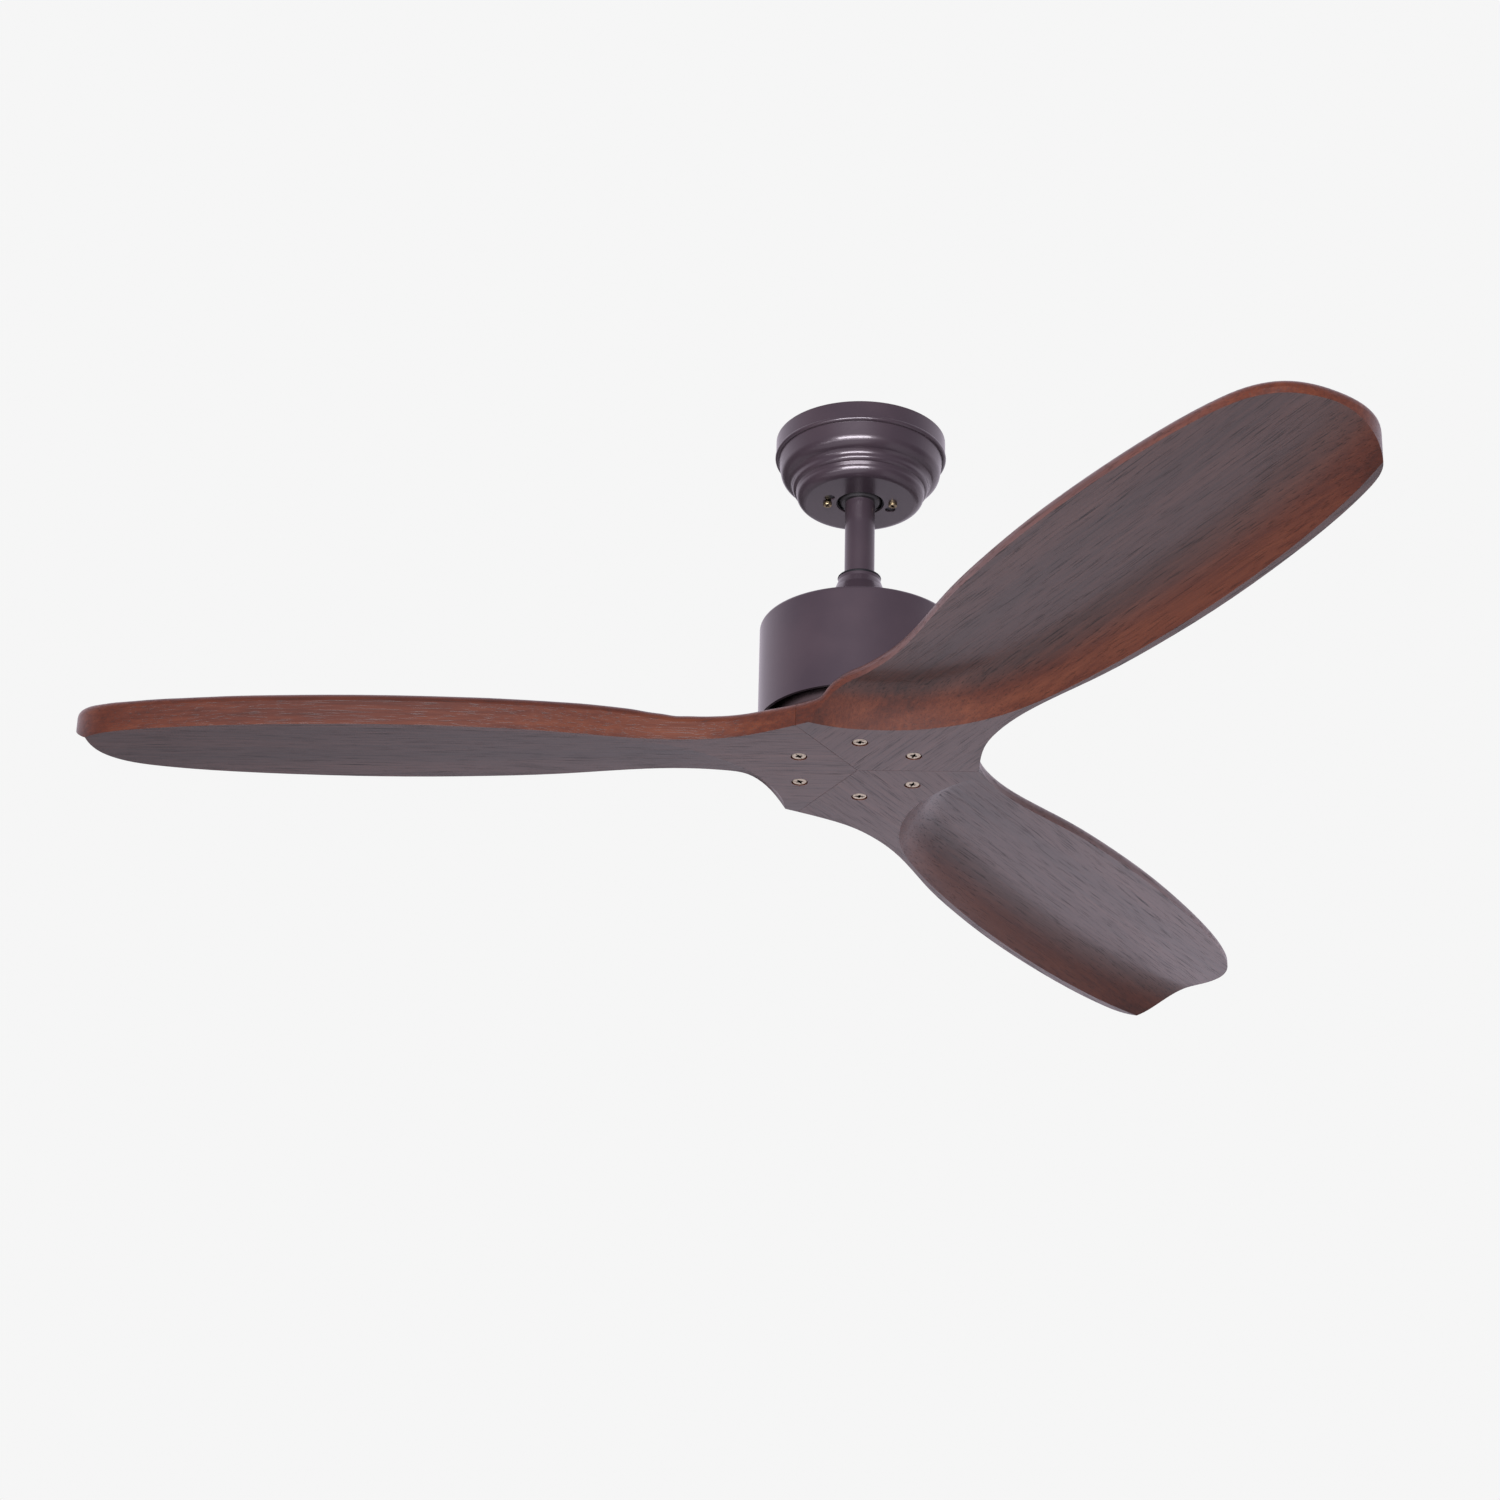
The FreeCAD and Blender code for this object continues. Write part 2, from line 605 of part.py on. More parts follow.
BEARING_WIDTH = 12.0
LOWER_BEARING = 38.0
UPPER_BEARING = 90.0
STACK_LOW = 62.0
STACK_HIGH = 86.0
TOOTH_COUNT = 12
TOOTH_HALF_WIDTH = 3.5
STATOR_HUB_RADIUS = 24.0
STATOR_YOKE_RADIUS = 30.0
TOOTH_TIP_RADIUS = 50.0
STATOR_RADIUS = 53.0
CIRCLIP_LOW = 36.0
CIRCLIP_HIGH = 37.6


def motor_shaft():
    shaft = tube(SHAFT_BORE, SHAFT_RADIUS, SHAFT_BOTTOM, SHAFT_TOP)
    groove = tube(SHAFT_RADIUS - 0.8, SHAFT_RADIUS + 1, CIRCLIP_LOW - 0.1, CIRCLIP_HIGH + 0.1)
    lead_out = block((-4, 4), (0, SHAFT_RADIUS + 1), (104, 114))
    return shaft.cut(groove).cut(lead_out)


def shaft_circlip():
    clip = tube(SHAFT_RADIUS - 0.7, 13.0, CIRCLIP_LOW, CIRCLIP_HIGH)
    return clip.cut(block((-3, 3), (0, 20), (CIRCLIP_LOW - 1, CIRCLIP_HIGH + 1)))


def stator_hub():
    low = LOWER_BEARING + BEARING_WIDTH
    hub = disc(13.0, low, UPPER_BEARING)
    hub = hub.fuse(disc(STATOR_HUB_RADIUS, STACK_LOW - 4, STACK_HIGH))
    hub = hub.fuse(disc(STATOR_HUB_RADIUS + 3, STACK_LOW - 4, STACK_LOW))
    return hub.cut(disc(SHAFT_RADIUS + CLEARANCE, low - 1, UPPER_BEARING + 1))


def stator_core():
    core = tube(STATOR_HUB_RADIUS + CLEARANCE, STATOR_YOKE_RADIUS, STACK_LOW, STACK_HIGH)
    tooth = block((STATOR_YOKE_RADIUS - 2, TOOTH_TIP_RADIUS + 1),
                  (-TOOTH_HALF_WIDTH, TOOTH_HALF_WIDTH), (STACK_LOW, STACK_HIGH))
    tip_section = Part.Face(Part.makePolygon([
        at(TOOTH_TIP_RADIUS, STACK_LOW), at(STATOR_RADIUS, STACK_LOW),
        at(STATOR_RADIUS, STACK_HIGH), at(TOOTH_TIP_RADIUS, STACK_HIGH),
        at(TOOTH_TIP_RADIUS, STACK_LOW),
    ]))
    tip_angle = 360.0 / TOOTH_COUNT - 5.0
    tip = turned(tip_section.revolve(CENTRE, UP, tip_angle), -tip_angle / 2)
    for piece in ring_of(tooth.fuse(tip), TOOTH_COUNT):
        core = core.fuse(piece)
    return core.removeSplitter()


def stator_coil():
    over = 4.0
    outer = block((STATOR_YOKE_RADIUS + 2.5, TOOTH_TIP_RADIUS - 1),
                  (-TOOTH_HALF_WIDTH - over, TOOTH_HALF_WIDTH + over),
                  (STACK_LOW - over, STACK_HIGH + over))
    upright = [edge for edge in outer.Edges
               if edge.Vertexes[0].Point.sub(edge.Vertexes[1].Point).cross(Vector(1, 0, 0)).Length < 0.01]
    outer = outer.makeFillet(2.5, upright)
    slack = 0.1
    core = block((0, 60), (-TOOTH_HALF_WIDTH - slack, TOOTH_HALF_WIDTH + slack),
                 (STACK_LOW - slack, STACK_HIGH + slack))
    return outer.cut(core)


save("motor_shaft", motor_shaft())
save("shaft_circlip", shaft_circlip())
save("bearing_lock_nut", hexagon_nut(26.0, SHAFT_RADIUS + CLEARANCE, UPPER_BEARING + BEARING_WIDTH,
                                     UPPER_BEARING + BEARING_WIDTH + 5.0))
save("stator_hub", stator_hub())
save("stator_core", stator_core())
save("stator_coils", *ring_of(stator_coil(), TOOTH_COUNT))


# ---- bearings ---------------------------------------------------------------------

RACE_BORE = SHAFT_RADIUS + 0.02
RACE_INNER = 13.5
RACE_OUTER = 17.5
BEARING_RADIUS = 21.0
BALL_TRACK = 15.5
BEARING_BALL = 3.2
BEARING_BALL_COUNT = 9
SEAT_BORE = BEARING_RADIUS + 0.02


def bearing(name, low):
    high = low + BEARING_WIDTH
    middle = (low + high) / 2
    track = Part.makeTorus(BALL_TRACK, BEARING_BALL + 0.1, Vector(0, 0, middle), UP)
    save(name + "_inner_ring", tube(RACE_BORE, RACE_INNER, low, high).cut(track))
    save(name + "_outer_ring", tube(RACE_OUTER, BEARING_RADIUS, low, high).cut(track))
    ball = Part.makeSphere(BEARING_BALL, Vector(BALL_TRACK, 0, middle))
    save(name + "_balls", *ring_of(ball, BEARING_BALL_COUNT))
    cage = tube(BALL_TRACK - 0.8, BALL_TRACK + 0.8, middle - 4.2, middle + 4.2)
    pocket = bar(BEARING_BALL + 0.1, Vector(RACE_INNER - 2, 0, middle),
                 Vector(RACE_OUTER + 2, 0, middle))
    save(name + "_cage", cut_all(cage, ring_of(pocket, BEARING_BALL_COUNT)))


bearing("lower_bearing", LOWER_BEARING)
bearing("upper_bearing", UPPER_BEARING)


# ---- rotor ------------------------------------------------------------------------

CARRIER_LOW = 23.0
CARRIER_HIGH = 32.0
CARRIER_RADIUS = 76.0
ROTOR_RADIUS = 70.0
ROTOR_WALL = 6.0
ROTOR_FLOOR = 6.0
ROTOR_TOP = 100.0
TOP_COVER = 5.0
BOSS_RADIUS = 27.0
SHAFT_WAY = 17.0            # hole radius that clears the bearing's inner ring
COVER_SCREW_CIRCLE = 67.0
CARRIER_SCREW_CIRCLE = 38.0
CARRIER_SCREW = 2.5
MAGNET_COUNT = 14
MAGNET_INNER = 53.8
MAGNET_OUTER = 58.9
BACK_IRON_INNER = 59.0


def rotor_bell():
    body = disc(ROTOR_RADIUS, CARRIER_HIGH, CARRIER_HIGH + ROTOR_FLOOR)
    body = body.fuse(tube(ROTOR_RADIUS - ROTOR_WALL, ROTOR_RADIUS, CARRIER_HIGH, ROTOR_TOP))
    body = body.fuse(disc(BOSS_RADIUS, CARRIER_HIGH, LOWER_BEARING + BEARING_WIDTH))
    tools = [
        disc(SEAT_BORE, LOWER_BEARING, LOWER_BEARING + BEARING_WIDTH + 1),
        disc(SHAFT_WAY, CARRIER_HIGH - 1, LOWER_BEARING + 1),
    ]
    tools.extend(ring_of(disc(CARRIER_SCREW + CLEARANCE, CARRIER_HIGH - 1,
                              CARRIER_HIGH + ROTOR_FLOOR + 1, CARRIER_SCREW_CIRCLE), 6, 30))
    tools.extend(ring_of(disc(SMALL_SCREW + CLEARANCE, ROTOR_TOP - 12, ROTOR_TOP + 1,
                              COVER_SCREW_CIRCLE), 6))
    return cut_all(body, tools)


def rotor_top_cover():
    high = ROTOR_TOP + TOP_COVER
    body = disc(ROTOR_RADIUS, ROTOR_TOP, high)
    body = body.fuse(disc(BOSS_RADIUS, UPPER_BEARING, high))
    tools = [
        disc(SEAT_BORE, UPPER_BEARING - 1, UPPER_BEARING + BEARING_WIDTH),
        disc(SHAFT_WAY, UPPER_BEARING + BEARING_WIDTH - 1, high + 1),
    ]
    vent = block((38, 56), (-4, 4), (ROTOR_TOP - 1, high + 1))
    tools.extend(ring_of(vent, 6, 30))
    tools.extend(ring_of(disc(SMALL_SCREW + CLEARANCE, ROTOR_TOP - 1, high + 1,
                              COVER_SCREW_CIRCLE), 6))
    return cut_all(body, tools)


def magnet():
    section = Part.Face(Part.makePolygon([
        at(MAGNET_INNER, STACK_LOW - 2), at(MAGNET_OUTER, STACK_LOW - 2),
        at(MAGNET_OUTER, STACK_HIGH + 2), at(MAGNET_INNER, STACK_HIGH + 2),
        at(MAGNET_INNER, STACK_LOW - 2),
    ]))
    return section.revolve(CENTRE, UP, 360.0 / MAGNET_COUNT - 2.5)


CARRIER_SCREW_LENGTH = 13.0
CARRIER_RECESS = 3.6


def blade_carrier():
    plate = tube(SHAFT_WAY + 1, CARRIER_RADIUS, CARRIER_LOW, CARRIER_HIGH)
    tools = []
    screw_hole = disc(CARRIER_SCREW + CLEARANCE, CARRIER_LOW - 1, CARRIER_HIGH + 1,
                      CARRIER_SCREW_CIRCLE)
    recess = disc(4.8, CARRIER_LOW - 1, CARRIER_LOW + CARRIER_RECESS, CARRIER_SCREW_CIRCLE)
    tools.extend(ring_of(screw_hole, 6, 30))
    tools.extend(ring_of(recess, 6, 30))
    for direction in BLADE_DIRECTIONS:
        for side in (-1, 1):
            hole = disc(BLADE_SCREW + CLEARANCE, CARRIER_LOW - 1, CARRIER_HIGH + 1,
                        BLADE_SCREW_X, side * BLADE_SCREW_Y)
            tools.append(turned(hole, direction))
    return cut_all(plate, tools)


BLADE_SCREW = 2.5
BLADE_SCREW_LENGTH = 27.0
BLADE_SCREW_HEAD = 6.3
BLADE_SCREW_HEAD_HEIGHT = 3.0
BLADE_COUNTERBORE = 7.0
BLADE_COUNTERBORE_DEPTH = 3.3

save("rotor_bell", rotor_bell())
save("rotor_top_cover", rotor_top_cover())
cover_screw = flipped(pan_screw(SMALL_SCREW, 15.0, 2.9, 2.2, 1.8))
save("rotor_cover_screws", *ring_of(
    placed(cover_screw, COVER_SCREW_CIRCLE, 0, ROTOR_TOP + TOP_COVER), 6))
save("rotor_back_iron", tube(BACK_IRON_INNER, ROTOR_RADIUS - ROTOR_WALL - CLEARANCE,
                             STACK_LOW - 4, STACK_HIGH + 4))
save("rotor_magnets", *ring_of(magnet(), MAGNET_COUNT))
save("blade_carrier", blade_carrier())
carrier_screw = pan_screw(CARRIER_SCREW, CARRIER_SCREW_LENGTH, 4.4, 3.0, 2.6)
save("carrier_screws", *ring_of(
    placed(carrier_screw, CARRIER_SCREW_CIRCLE, 0, CARRIER_LOW + CARRIER_RECESS), 6, 30))


# ---- blades -------------------------------------------------------------------------
# A blade is carved from a plank. It is drawn along +X with its upright trailing edge
# towards +Y, then turned to its direction. Its underside is flat at the root and along a
# narrow land beside the trailing edge, and is scooped out everywhere else.

SCOOP_DEPTH = 26.5          # height of the scoop's roof above the flat underside
SCOOP_STEEPNESS = 2.2
LEADING_TOP = 39.3          # height of the upper face along the leading edge
TRAILING_TOP = 27.4         # and along the trailing edge
EDGE_ROUNDING = 8.0         # of the upper face's edge, all round the outline
PLANK_HEIGHT = 60.0         # more than the blade's greatest thickness
LAND_WIDTH = 6.5
ROOT_RISE = 3.0             # the upper face rises by this just outside the carrier
SCOOP_REACH = 40.0          # how far in from its edge the scoop reaches its full depth
SCOOP_REACH_GROWTH = 12.0   # and how much farther on the outer blade
CROWN_REACH = 30.0          # how far in from the edge the upper face keeps rising
CROWN_REACH_GROWTH = 35.0

HALF_OUTLINE = (            # distance from the axis, half the blade's width there
    (80.0, 73.2), (100.0, 65.0), (128.0, 59.4), (160.0, 58.3), (200.0, 62.6),
    (255.0, 72.2), (325.0, 79.4), (400.0, 82.4), (475.0, 80.6), (545.0, 75.2),
    (606.0, 65.6), (638.2, 54.0), (654.2, 38.0), (660.2, 19.0),
)
SEAM_END = (51.2, 88.68)    # where two neighbouring blades' outlines meet
TIP_SKEW = 0.045            # the tip reaches a little further on the trailing side

SCOOP_EDGE = (              # where the flat underside ends and the scoop begins
    (62.0, -125.0), (62.0, -83.0), (66.0, -55.0), (75.0, -32.0), (97.0, 3.0),
    (122.0, 26.0), (155.0, 45.0), (196.0, 57.5), (260.0, 67.6), (330.0, 73.6),
    (405.0, 75.8), (480.0, 73.8), (550.0, 67.6), (610.0, 58.2), (650.0, 48.6),
    (700.0, 35.0),
)


def smooth_curve(points):
    curve = Part.BSplineCurve()
    curve.interpolate([Vector(x, y, 0) for x, y in points])
    return curve


scoop_edge = smooth_curve(SCOOP_EDGE)


def distance_into_scoop(place):
    """How far a place is from the scoop's edge: positive inside the scoop."""
    along = scoop_edge.parameter(place)
    foot = scoop_edge.value(along)
    offset = place - foot
    side = scoop_edge.tangent(along)[0].cross(offset).z
    return -math.copysign(offset.Length, side)


def ramp(value, start, end):
    """0 before start, 1 after end, with a smooth step between."""
    part = min(max((value - start) / (end - start), 0.0), 1.0)
    return part * part * (3 - 2 * part)


def scoop_height(place, depth):
    """Height of the scooped underside, from its distance into the scoop."""
    reach = SCOOP_REACH + SCOOP_REACH_GROWTH * ramp(place.x, 100, 300)
    slope = SCOOP_DEPTH * SCOOP_STEEPNESS / reach
    if depth <= 0:
        return slope * depth
    if depth >= reach:
        return SCOOP_DEPTH
    return SCOOP_DEPTH * (1 - (1 - depth / reach) ** SCOOP_STEEPNESS)


def upper_height(place, depth):
    """Height of the upper face: flat under the carrier, then a crowned plank."""
    outer = ramp(place.x, 90, 230)
    root = ROOT_THICKNESS + ROOT_RISE * ramp(place.Length, 80, 100)
    base = root + (TRAILING_TOP - root) * outer
    reach = CROWN_REACH + CROWN_REACH_GROWTH * outer
    inward = depth + LAND_WIDTH * outer
    if inward <= 0:
        return base
    if inward >= reach:
        return LEADING_TOP
    return base + (LEADING_TOP - base) * (1 - (1 - inward / reach) ** 2)


SURFACE_START = Vector(0, -104, 0)
SURFACE_STEP = 8.0
SURFACE_COLUMNS = 86
SURFACE_ROWS = 27


def height_surface(height):
    """A smooth face through a regular net of heights over the whole blade."""
    net = []
    for column in range(SURFACE_COLUMNS):
        x = SURFACE_START.x + column * SURFACE_STEP
        points = []
        for row in range(SURFACE_ROWS):
            y = SURFACE_START.y + row * SURFACE_STEP
            place = Vector(x, y, 0)
            points.append(Vector(x, y, height(place, distance_into_scoop(place))))
        net.append(points)
    surface = Part.BSplineSurface()
    surface.interpolate(net)
    return surface.toShape()


def blade_outline():
    """The blade in plan: two seam lines meeting at 120 degrees, and the curved sides."""
    apex = Vector(SEAM_GAP / 2 / math.sin(math.radians(60)), 0, 0)
    corner = (SEAM_END[0] + apex.x, SEAM_END[1])
    half = [corner] + list(HALF_OUTLINE) + [(FAN_RADIUS, 0.0)]
    whole = half + [(x, -y) for x, y in reversed(half[:-1])]
    curve = smooth_curve([(x + TIP_SKEW * y * ramp(x, 560, 650), y) for x, y in whole])
    first = Vector(corner[0], corner[1], 0)
    last = Vector(corner[0], -corner[1], 0)
    wire = Part.Wire([curve.toShape(), line(last, apex), line(apex, first)])
    return Part.Face(wire)


def rounded_plank():
    """The blade before its underside is scooped: its upper outline edge is rounded."""
    prism = blade_outline().extrude(Vector(0, 0, PLANK_HEIGHT))
    over = height_surface(upper_height).extrude(Vector(0, 0, PLANK_HEIGHT))
    plank = prism.cut(over).Solids[0]
    outline_length = FAN_RADIUS
    rim = [edge for edge in plank.Edges
           if edge.BoundBox.ZMin > ROOT_THICKNESS / 2 and edge.Length > outline_length]
    return plank.makeFillet(EDGE_ROUNDING, rim)


def blade():
    under = height_surface(scoop_height)
    under.translate(Vector(0, 0, -PLANK_HEIGHT))
    body = rounded_plank().cut(under.extrude(Vector(0, 0, PLANK_HEIGHT)))
    for side in (-1, 1):
        y = side * BLADE_SCREW_Y
        body = body.cut(disc(BLADE_SCREW + 0.5, -1, ROOT_THICKNESS + 5, BLADE_SCREW_X, y))
        body = body.cut(disc(BLADE_COUNTERBORE, -1, BLADE_COUNTERBORE_DEPTH, BLADE_SCREW_X, y))
    return body


def blade_gasket():
    """A rubber pad between the blade's root and the carrier."""
    half_angle = 52.0
    low = ROOT_THICKNESS + 0.2
    pad = Part.Face(Part.makePolygon([
        at(42, low), at(68, low), at(68, CARRIER_LOW), at(42, CARRIER_LOW), at(42, low),
    ])).revolve(CENTRE, UP, 2 * half_angle)
    pad = turned(pad, -half_angle)
    holes = [disc(BLADE_SCREW + 0.5, ROOT_THICKNESS - 1, CARRIER_LOW + 1, BLADE_SCREW_X,
                  side * BLADE_SCREW_Y) for side in (-1, 1)]
    return cut_all(pad, holes)


finished_blade = blade()
gasket = blade_gasket()
blade_screw = pan_screw(BLADE_SCREW, BLADE_SCREW_LENGTH, BLADE_SCREW_HEAD,
                        BLADE_SCREW_HEAD_HEIGHT, 3.0)
blade_screws = []
for number, direction in enumerate(BLADE_DIRECTIONS, 1):
    save("blade_%d" % number, turned(finished_blade, direction))
    save("blade_gasket_%d" % number, turned(gasket, direction))
    for side in (-1, 1):
        screw = placed(blade_screw, BLADE_SCREW_X, side * BLADE_SCREW_Y, BLADE_COUNTERBORE_DEPTH)
        blade_screws.append(turned(screw, direction))
save("blade_screws", *blade_screws)
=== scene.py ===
# %% [markdown]
# # A ceiling fan with three carved wooden blades
#
# The fan hangs from a stepped metal canopy on a short rod. A ball at the rod's top lets it
# hang plumb, a shallow drum holds the motor, and three scooped wooden blades meet in a
# seam under it. Every shape comes from the CAD model, which is loaded as a fixed frame.
# This lesson gives each part its finish, builds the parts that need finer shapes, and
# sets up the studio. Lengths are metres, and z = 0 is the ceiling.

# %% Load the fan and measure it
import bmesh
import bpy
import math
from mathutils import Matrix, Vector


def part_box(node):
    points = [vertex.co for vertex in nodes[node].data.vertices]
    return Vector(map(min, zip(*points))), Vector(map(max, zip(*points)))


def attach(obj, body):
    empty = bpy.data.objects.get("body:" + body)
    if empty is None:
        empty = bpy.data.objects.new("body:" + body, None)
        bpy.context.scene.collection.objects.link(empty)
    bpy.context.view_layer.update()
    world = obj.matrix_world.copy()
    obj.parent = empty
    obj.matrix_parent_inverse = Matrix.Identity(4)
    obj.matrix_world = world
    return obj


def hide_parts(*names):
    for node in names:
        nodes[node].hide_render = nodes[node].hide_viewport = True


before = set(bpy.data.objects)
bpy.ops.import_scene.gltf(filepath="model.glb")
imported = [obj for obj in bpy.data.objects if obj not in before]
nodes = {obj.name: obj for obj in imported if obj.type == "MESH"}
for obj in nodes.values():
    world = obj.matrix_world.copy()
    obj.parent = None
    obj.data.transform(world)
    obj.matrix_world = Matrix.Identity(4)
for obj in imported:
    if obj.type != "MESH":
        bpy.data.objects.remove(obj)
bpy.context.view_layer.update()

# %% [markdown]
# ## Writing shader maths as sums
#
# A finish is a small recipe of patterns: noise for the grain, rings for a turned face,
# bands for laminations. Node trees get hard to read when each step is wired by hand, so
# one small class wraps a socket. Adding or multiplying two wrapped sockets places the
# Math node for it, and the recipe then reads like ordinary arithmetic.

# %% A socket that can be added and multiplied
class Value:
    """One output in a node tree, with the arithmetic that the finishes use."""

    def __init__(self, finish, socket):
        self.finish = finish
        self.socket = socket

    def math(self, operation, *others):
        inputs = dict(enumerate((self,) + others))
        return self.finish.node("ShaderNodeMath", {"operation": operation}, inputs)

    def __add__(self, other):
        return self.math("ADD", other)

    def __sub__(self, other):
        return self.math("SUBTRACT", other)

    def __mul__(self, other):
        return self.math("MULTIPLY", other)

    def __truediv__(self, other):
        return self.math("DIVIDE", other)

    def __rsub__(self, other):
        return (self * -1.0) + other

    def wave(self):
        """Swings from 0 to 1 and back once for each unit."""
        return (self * math.tau).math("SINE") * 0.5 + 0.5

    def step(self, low, high):
        """0 up to low, 1 from high on, and smooth between."""
        settings = {"interpolation_type": "SMOOTHSTEP"}
        inputs = {"Value": self, "From Min": low, "From Max": high}
        return self.finish.node("ShaderNodeMapRange", settings, inputs)


# %% [markdown]
# ## One recipe book for all finishes
#
# A `Finish` starts a material with a Principled shader and offers the few ingredients
# used below: the place on the part, stretched noise, a blend of two colours, a bump. The
# place comes from Object coordinates, which are the fan's own metres because every piece
# keeps its object at the origin. A pattern therefore has a real size on every part.

# %% The recipe book
class Finish:
    def __init__(self, name, turn=0.0):
        self.material = bpy.data.materials.new(name)
        self.material.use_nodes = True
        self.tree = self.material.node_tree
        self.shader = self.tree.nodes["Principled BSDF"]
        place = self.node("ShaderNodeTexCoord", {}, {}, "Object")
        self.place = self.node("ShaderNodeMapping", {}, {"Vector": place,
                                                          "Rotation": (0.0, 0.0, -turn)})

    def node(self, kind, settings, inputs, output=0):
        """Place a node: its settings first, then its inputs, and give back one output."""
        made = self.tree.nodes.new(kind)
        for name, value in settings.items():
            if name == "stops":
                self.set_stops(made.color_ramp, value)
            else:
                setattr(made, name, value)
        for name, value in inputs.items():
            self.feed(made.inputs[name], value)
        return Value(self, made.outputs[output])

    def set_stops(self, ramp, stops):
        while len(ramp.elements) < len(stops):
            ramp.elements.new(1.0)
        for element, (position, colour) in zip(ramp.elements, stops):
            element.position = position
            element.color = (*colour, 1.0)

    def feed(self, socket, value):
        if isinstance(value, Value):
            self.tree.links.new(value.socket, socket)
        elif socket.type == "RGBA" and len(value) == 3:
            socket.default_value = (*value, 1.0)
        else:
            socket.default_value = value

    def axis(self, letter):
        return self.node("ShaderNodeSeparateXYZ", {}, {0: self.place}, letter)

    def stretched(self, scale):
        """The place, multiplied along each axis: how fine the pattern is there."""
        settings = {"operation": "MULTIPLY"}
        return self.node("ShaderNodeVectorMath", settings, {0: self.place, 1: scale})

    def noise(self, scale, detail=3.0, rough=0.5, bend=0.0):
        inputs = {"Vector": self.stretched(scale), "Scale": 1.0, "Detail": detail,
                  "Roughness": rough, "Distortion": bend}
        return self.node("ShaderNodeTexNoise", {}, inputs, "Fac")

    def cells(self, scale, feature="F1", output="Distance"):
        inputs = {"Vector": self.stretched(scale), "Scale": 1.0}
        return self.node("ShaderNodeTexVoronoi", {"feature": feature}, inputs, output)

    def level(self):
        """1 where the surface is level, 0 where it is upright."""
        facing = self.node("ShaderNodeNewGeometry", {}, {}, "Normal")
        height = self.node("ShaderNodeSeparateXYZ", {}, {0: facing}, "Z")
        return height.math("ABSOLUTE")

    def radius(self):
        """Distance from the fan's upright axis."""
        x = self.axis("X")
        y = self.axis("Y")
        return (x * x + y * y).math("SQRT")

    def blend(self, amount, first, second):
        """The first colour where the amount is 0, the second where it is 1."""
        settings = {"data_type": "RGBA", "blend_type": "MIX"}
        inputs = {0: amount, 6: first, 7: second}
        return self.node("ShaderNodeMix", settings, inputs, 2)

    def ramp(self, amount, *stops):
        return self.node("ShaderNodeValToRGB", {"stops": stops}, {0: amount}, "Color")

    def bump(self, height, depth, strength=1.0):
        """Small relief: height swings from 0 to 1 over a real depth in metres."""
        inputs = {"Height": height, "Distance": depth, "Strength": strength}
        relief = self.node("ShaderNodeBump", {}, inputs, "Normal")
        self.set(Normal=relief)

    def set(self, **sockets):
        for name, value in sockets.items():
            self.feed(self.shader.inputs[name.replace("_", " ")], value)
        return self

    def on(self, *names):
        """Put this finish on CAD nodes."""
        for name in names:
            for slot in nodes[name].material_slots:
                slot.material = self.material
        print(self.material.name, "->", ", ".join(names))
        return self


# %% [markdown]
# ## The carved blades
# The blades are carved from reddish hardwood planks, then stained and given a satin
# varnish. Real wood shows three scales at once: broad bands of lighter and darker
# colour, narrow growth lines that wander along the plank, and short dark pores. All
# three run along the blade, so the pattern is turned to each blade's own direction and
# stretched along it. The varnish is a separate clear layer over the stained wood: it
# stays pale at a low angle, where it mirrors the room, and lets the red show where the
# wood is seen square on. On the upright walls of the scoops and on the rims, a mask of
# how upright the surface is blends in a second, brighter and redder set of colours.
# That is painted light: it stands for the front lamp falling on the walls. The same
# mask leaves less varnish on top there.

# %% Carved wood, turned to a blade's direction
BLADE_TURNS = {"blade_1": 180.0, "blade_2": -60.0, "blade_3": 60.0}
WOOD_DARK = (0.008, 0.003, 0.002)
WOOD_RED = (0.048, 0.015, 0.009)
WOOD_LIGHT = (0.090, 0.032, 0.020)
# Painted light: brighter, redder copies of the wood colours, standing for the front lamp
# on the upright walls.
LIT_WALL_DARK = (0.020, 0.005, 0.003)
LIT_WALL_RED = (0.068, 0.015, 0.006)
LIT_WALL_LIGHT = (0.125, 0.034, 0.013)


def carved_wood(name, degrees):
    wood = Finish("carved wood of " + name, math.radians(degrees))
    bands = wood.noise((1.2, 22.0, 40.0), 4.0, 0.55, 0.3)
    fibre = wood.noise((9.0, 300.0, 300.0), 4.0, 0.65)
    pores = wood.noise((26.0, 980.0, 980.0), 2.0, 0.6).step(0.54, 0.68)
    # carved is 1 on upright surfaces; it blends in the painted-light wall colours and
    # thins the varnish there.
    carved = 1.0 - wood.level().step(0.76, 0.96)
    figure = bands * 0.6 + fibre * 0.4
    colour = wood.ramp(figure, (0.30, WOOD_DARK), (0.50, WOOD_RED), (0.72, WOOD_LIGHT))
    # The wood ramp in the brighter wall colours: painted light on the upright walls.
    deep = wood.ramp(figure, (0.30, LIT_WALL_DARK), (0.50, LIT_WALL_RED), (0.72, LIT_WALL_LIGHT))
    colour = wood.blend(carved * 0.85, colour, deep)
    wood.set(Base_Color=wood.blend(pores * (0.85 - carved * 0.4), colour, WOOD_DARK),
             Roughness=0.46 - bands * 0.10 + pores * 0.15 - carved * 0.08,
             Coat_Weight=0.9 - pores * 0.5 - carved * 0.7, Coat_Roughness=0.26,
             Coat_IOR=1.5)
    wood.bump(fibre * 0.5 - pores * 0.5, 0.00012, 0.6)
    return wood


for blade, degrees in BLADE_TURNS.items():
    carved_wood(blade, degrees).on(blade)

# %% [markdown]
# ## The bronze enamel
#
# The canopy, the rod, the bell over the coupling and the motor drum are pressed or spun
# steel in one dark bronze enamel with a faint violet cast. Sprayed paint is never quite
# flat: it dries with a fine orange-peel skin, and its shade drifts a little over a hand's
# width. A thin clear layer gives the crisp highlights along the beads.

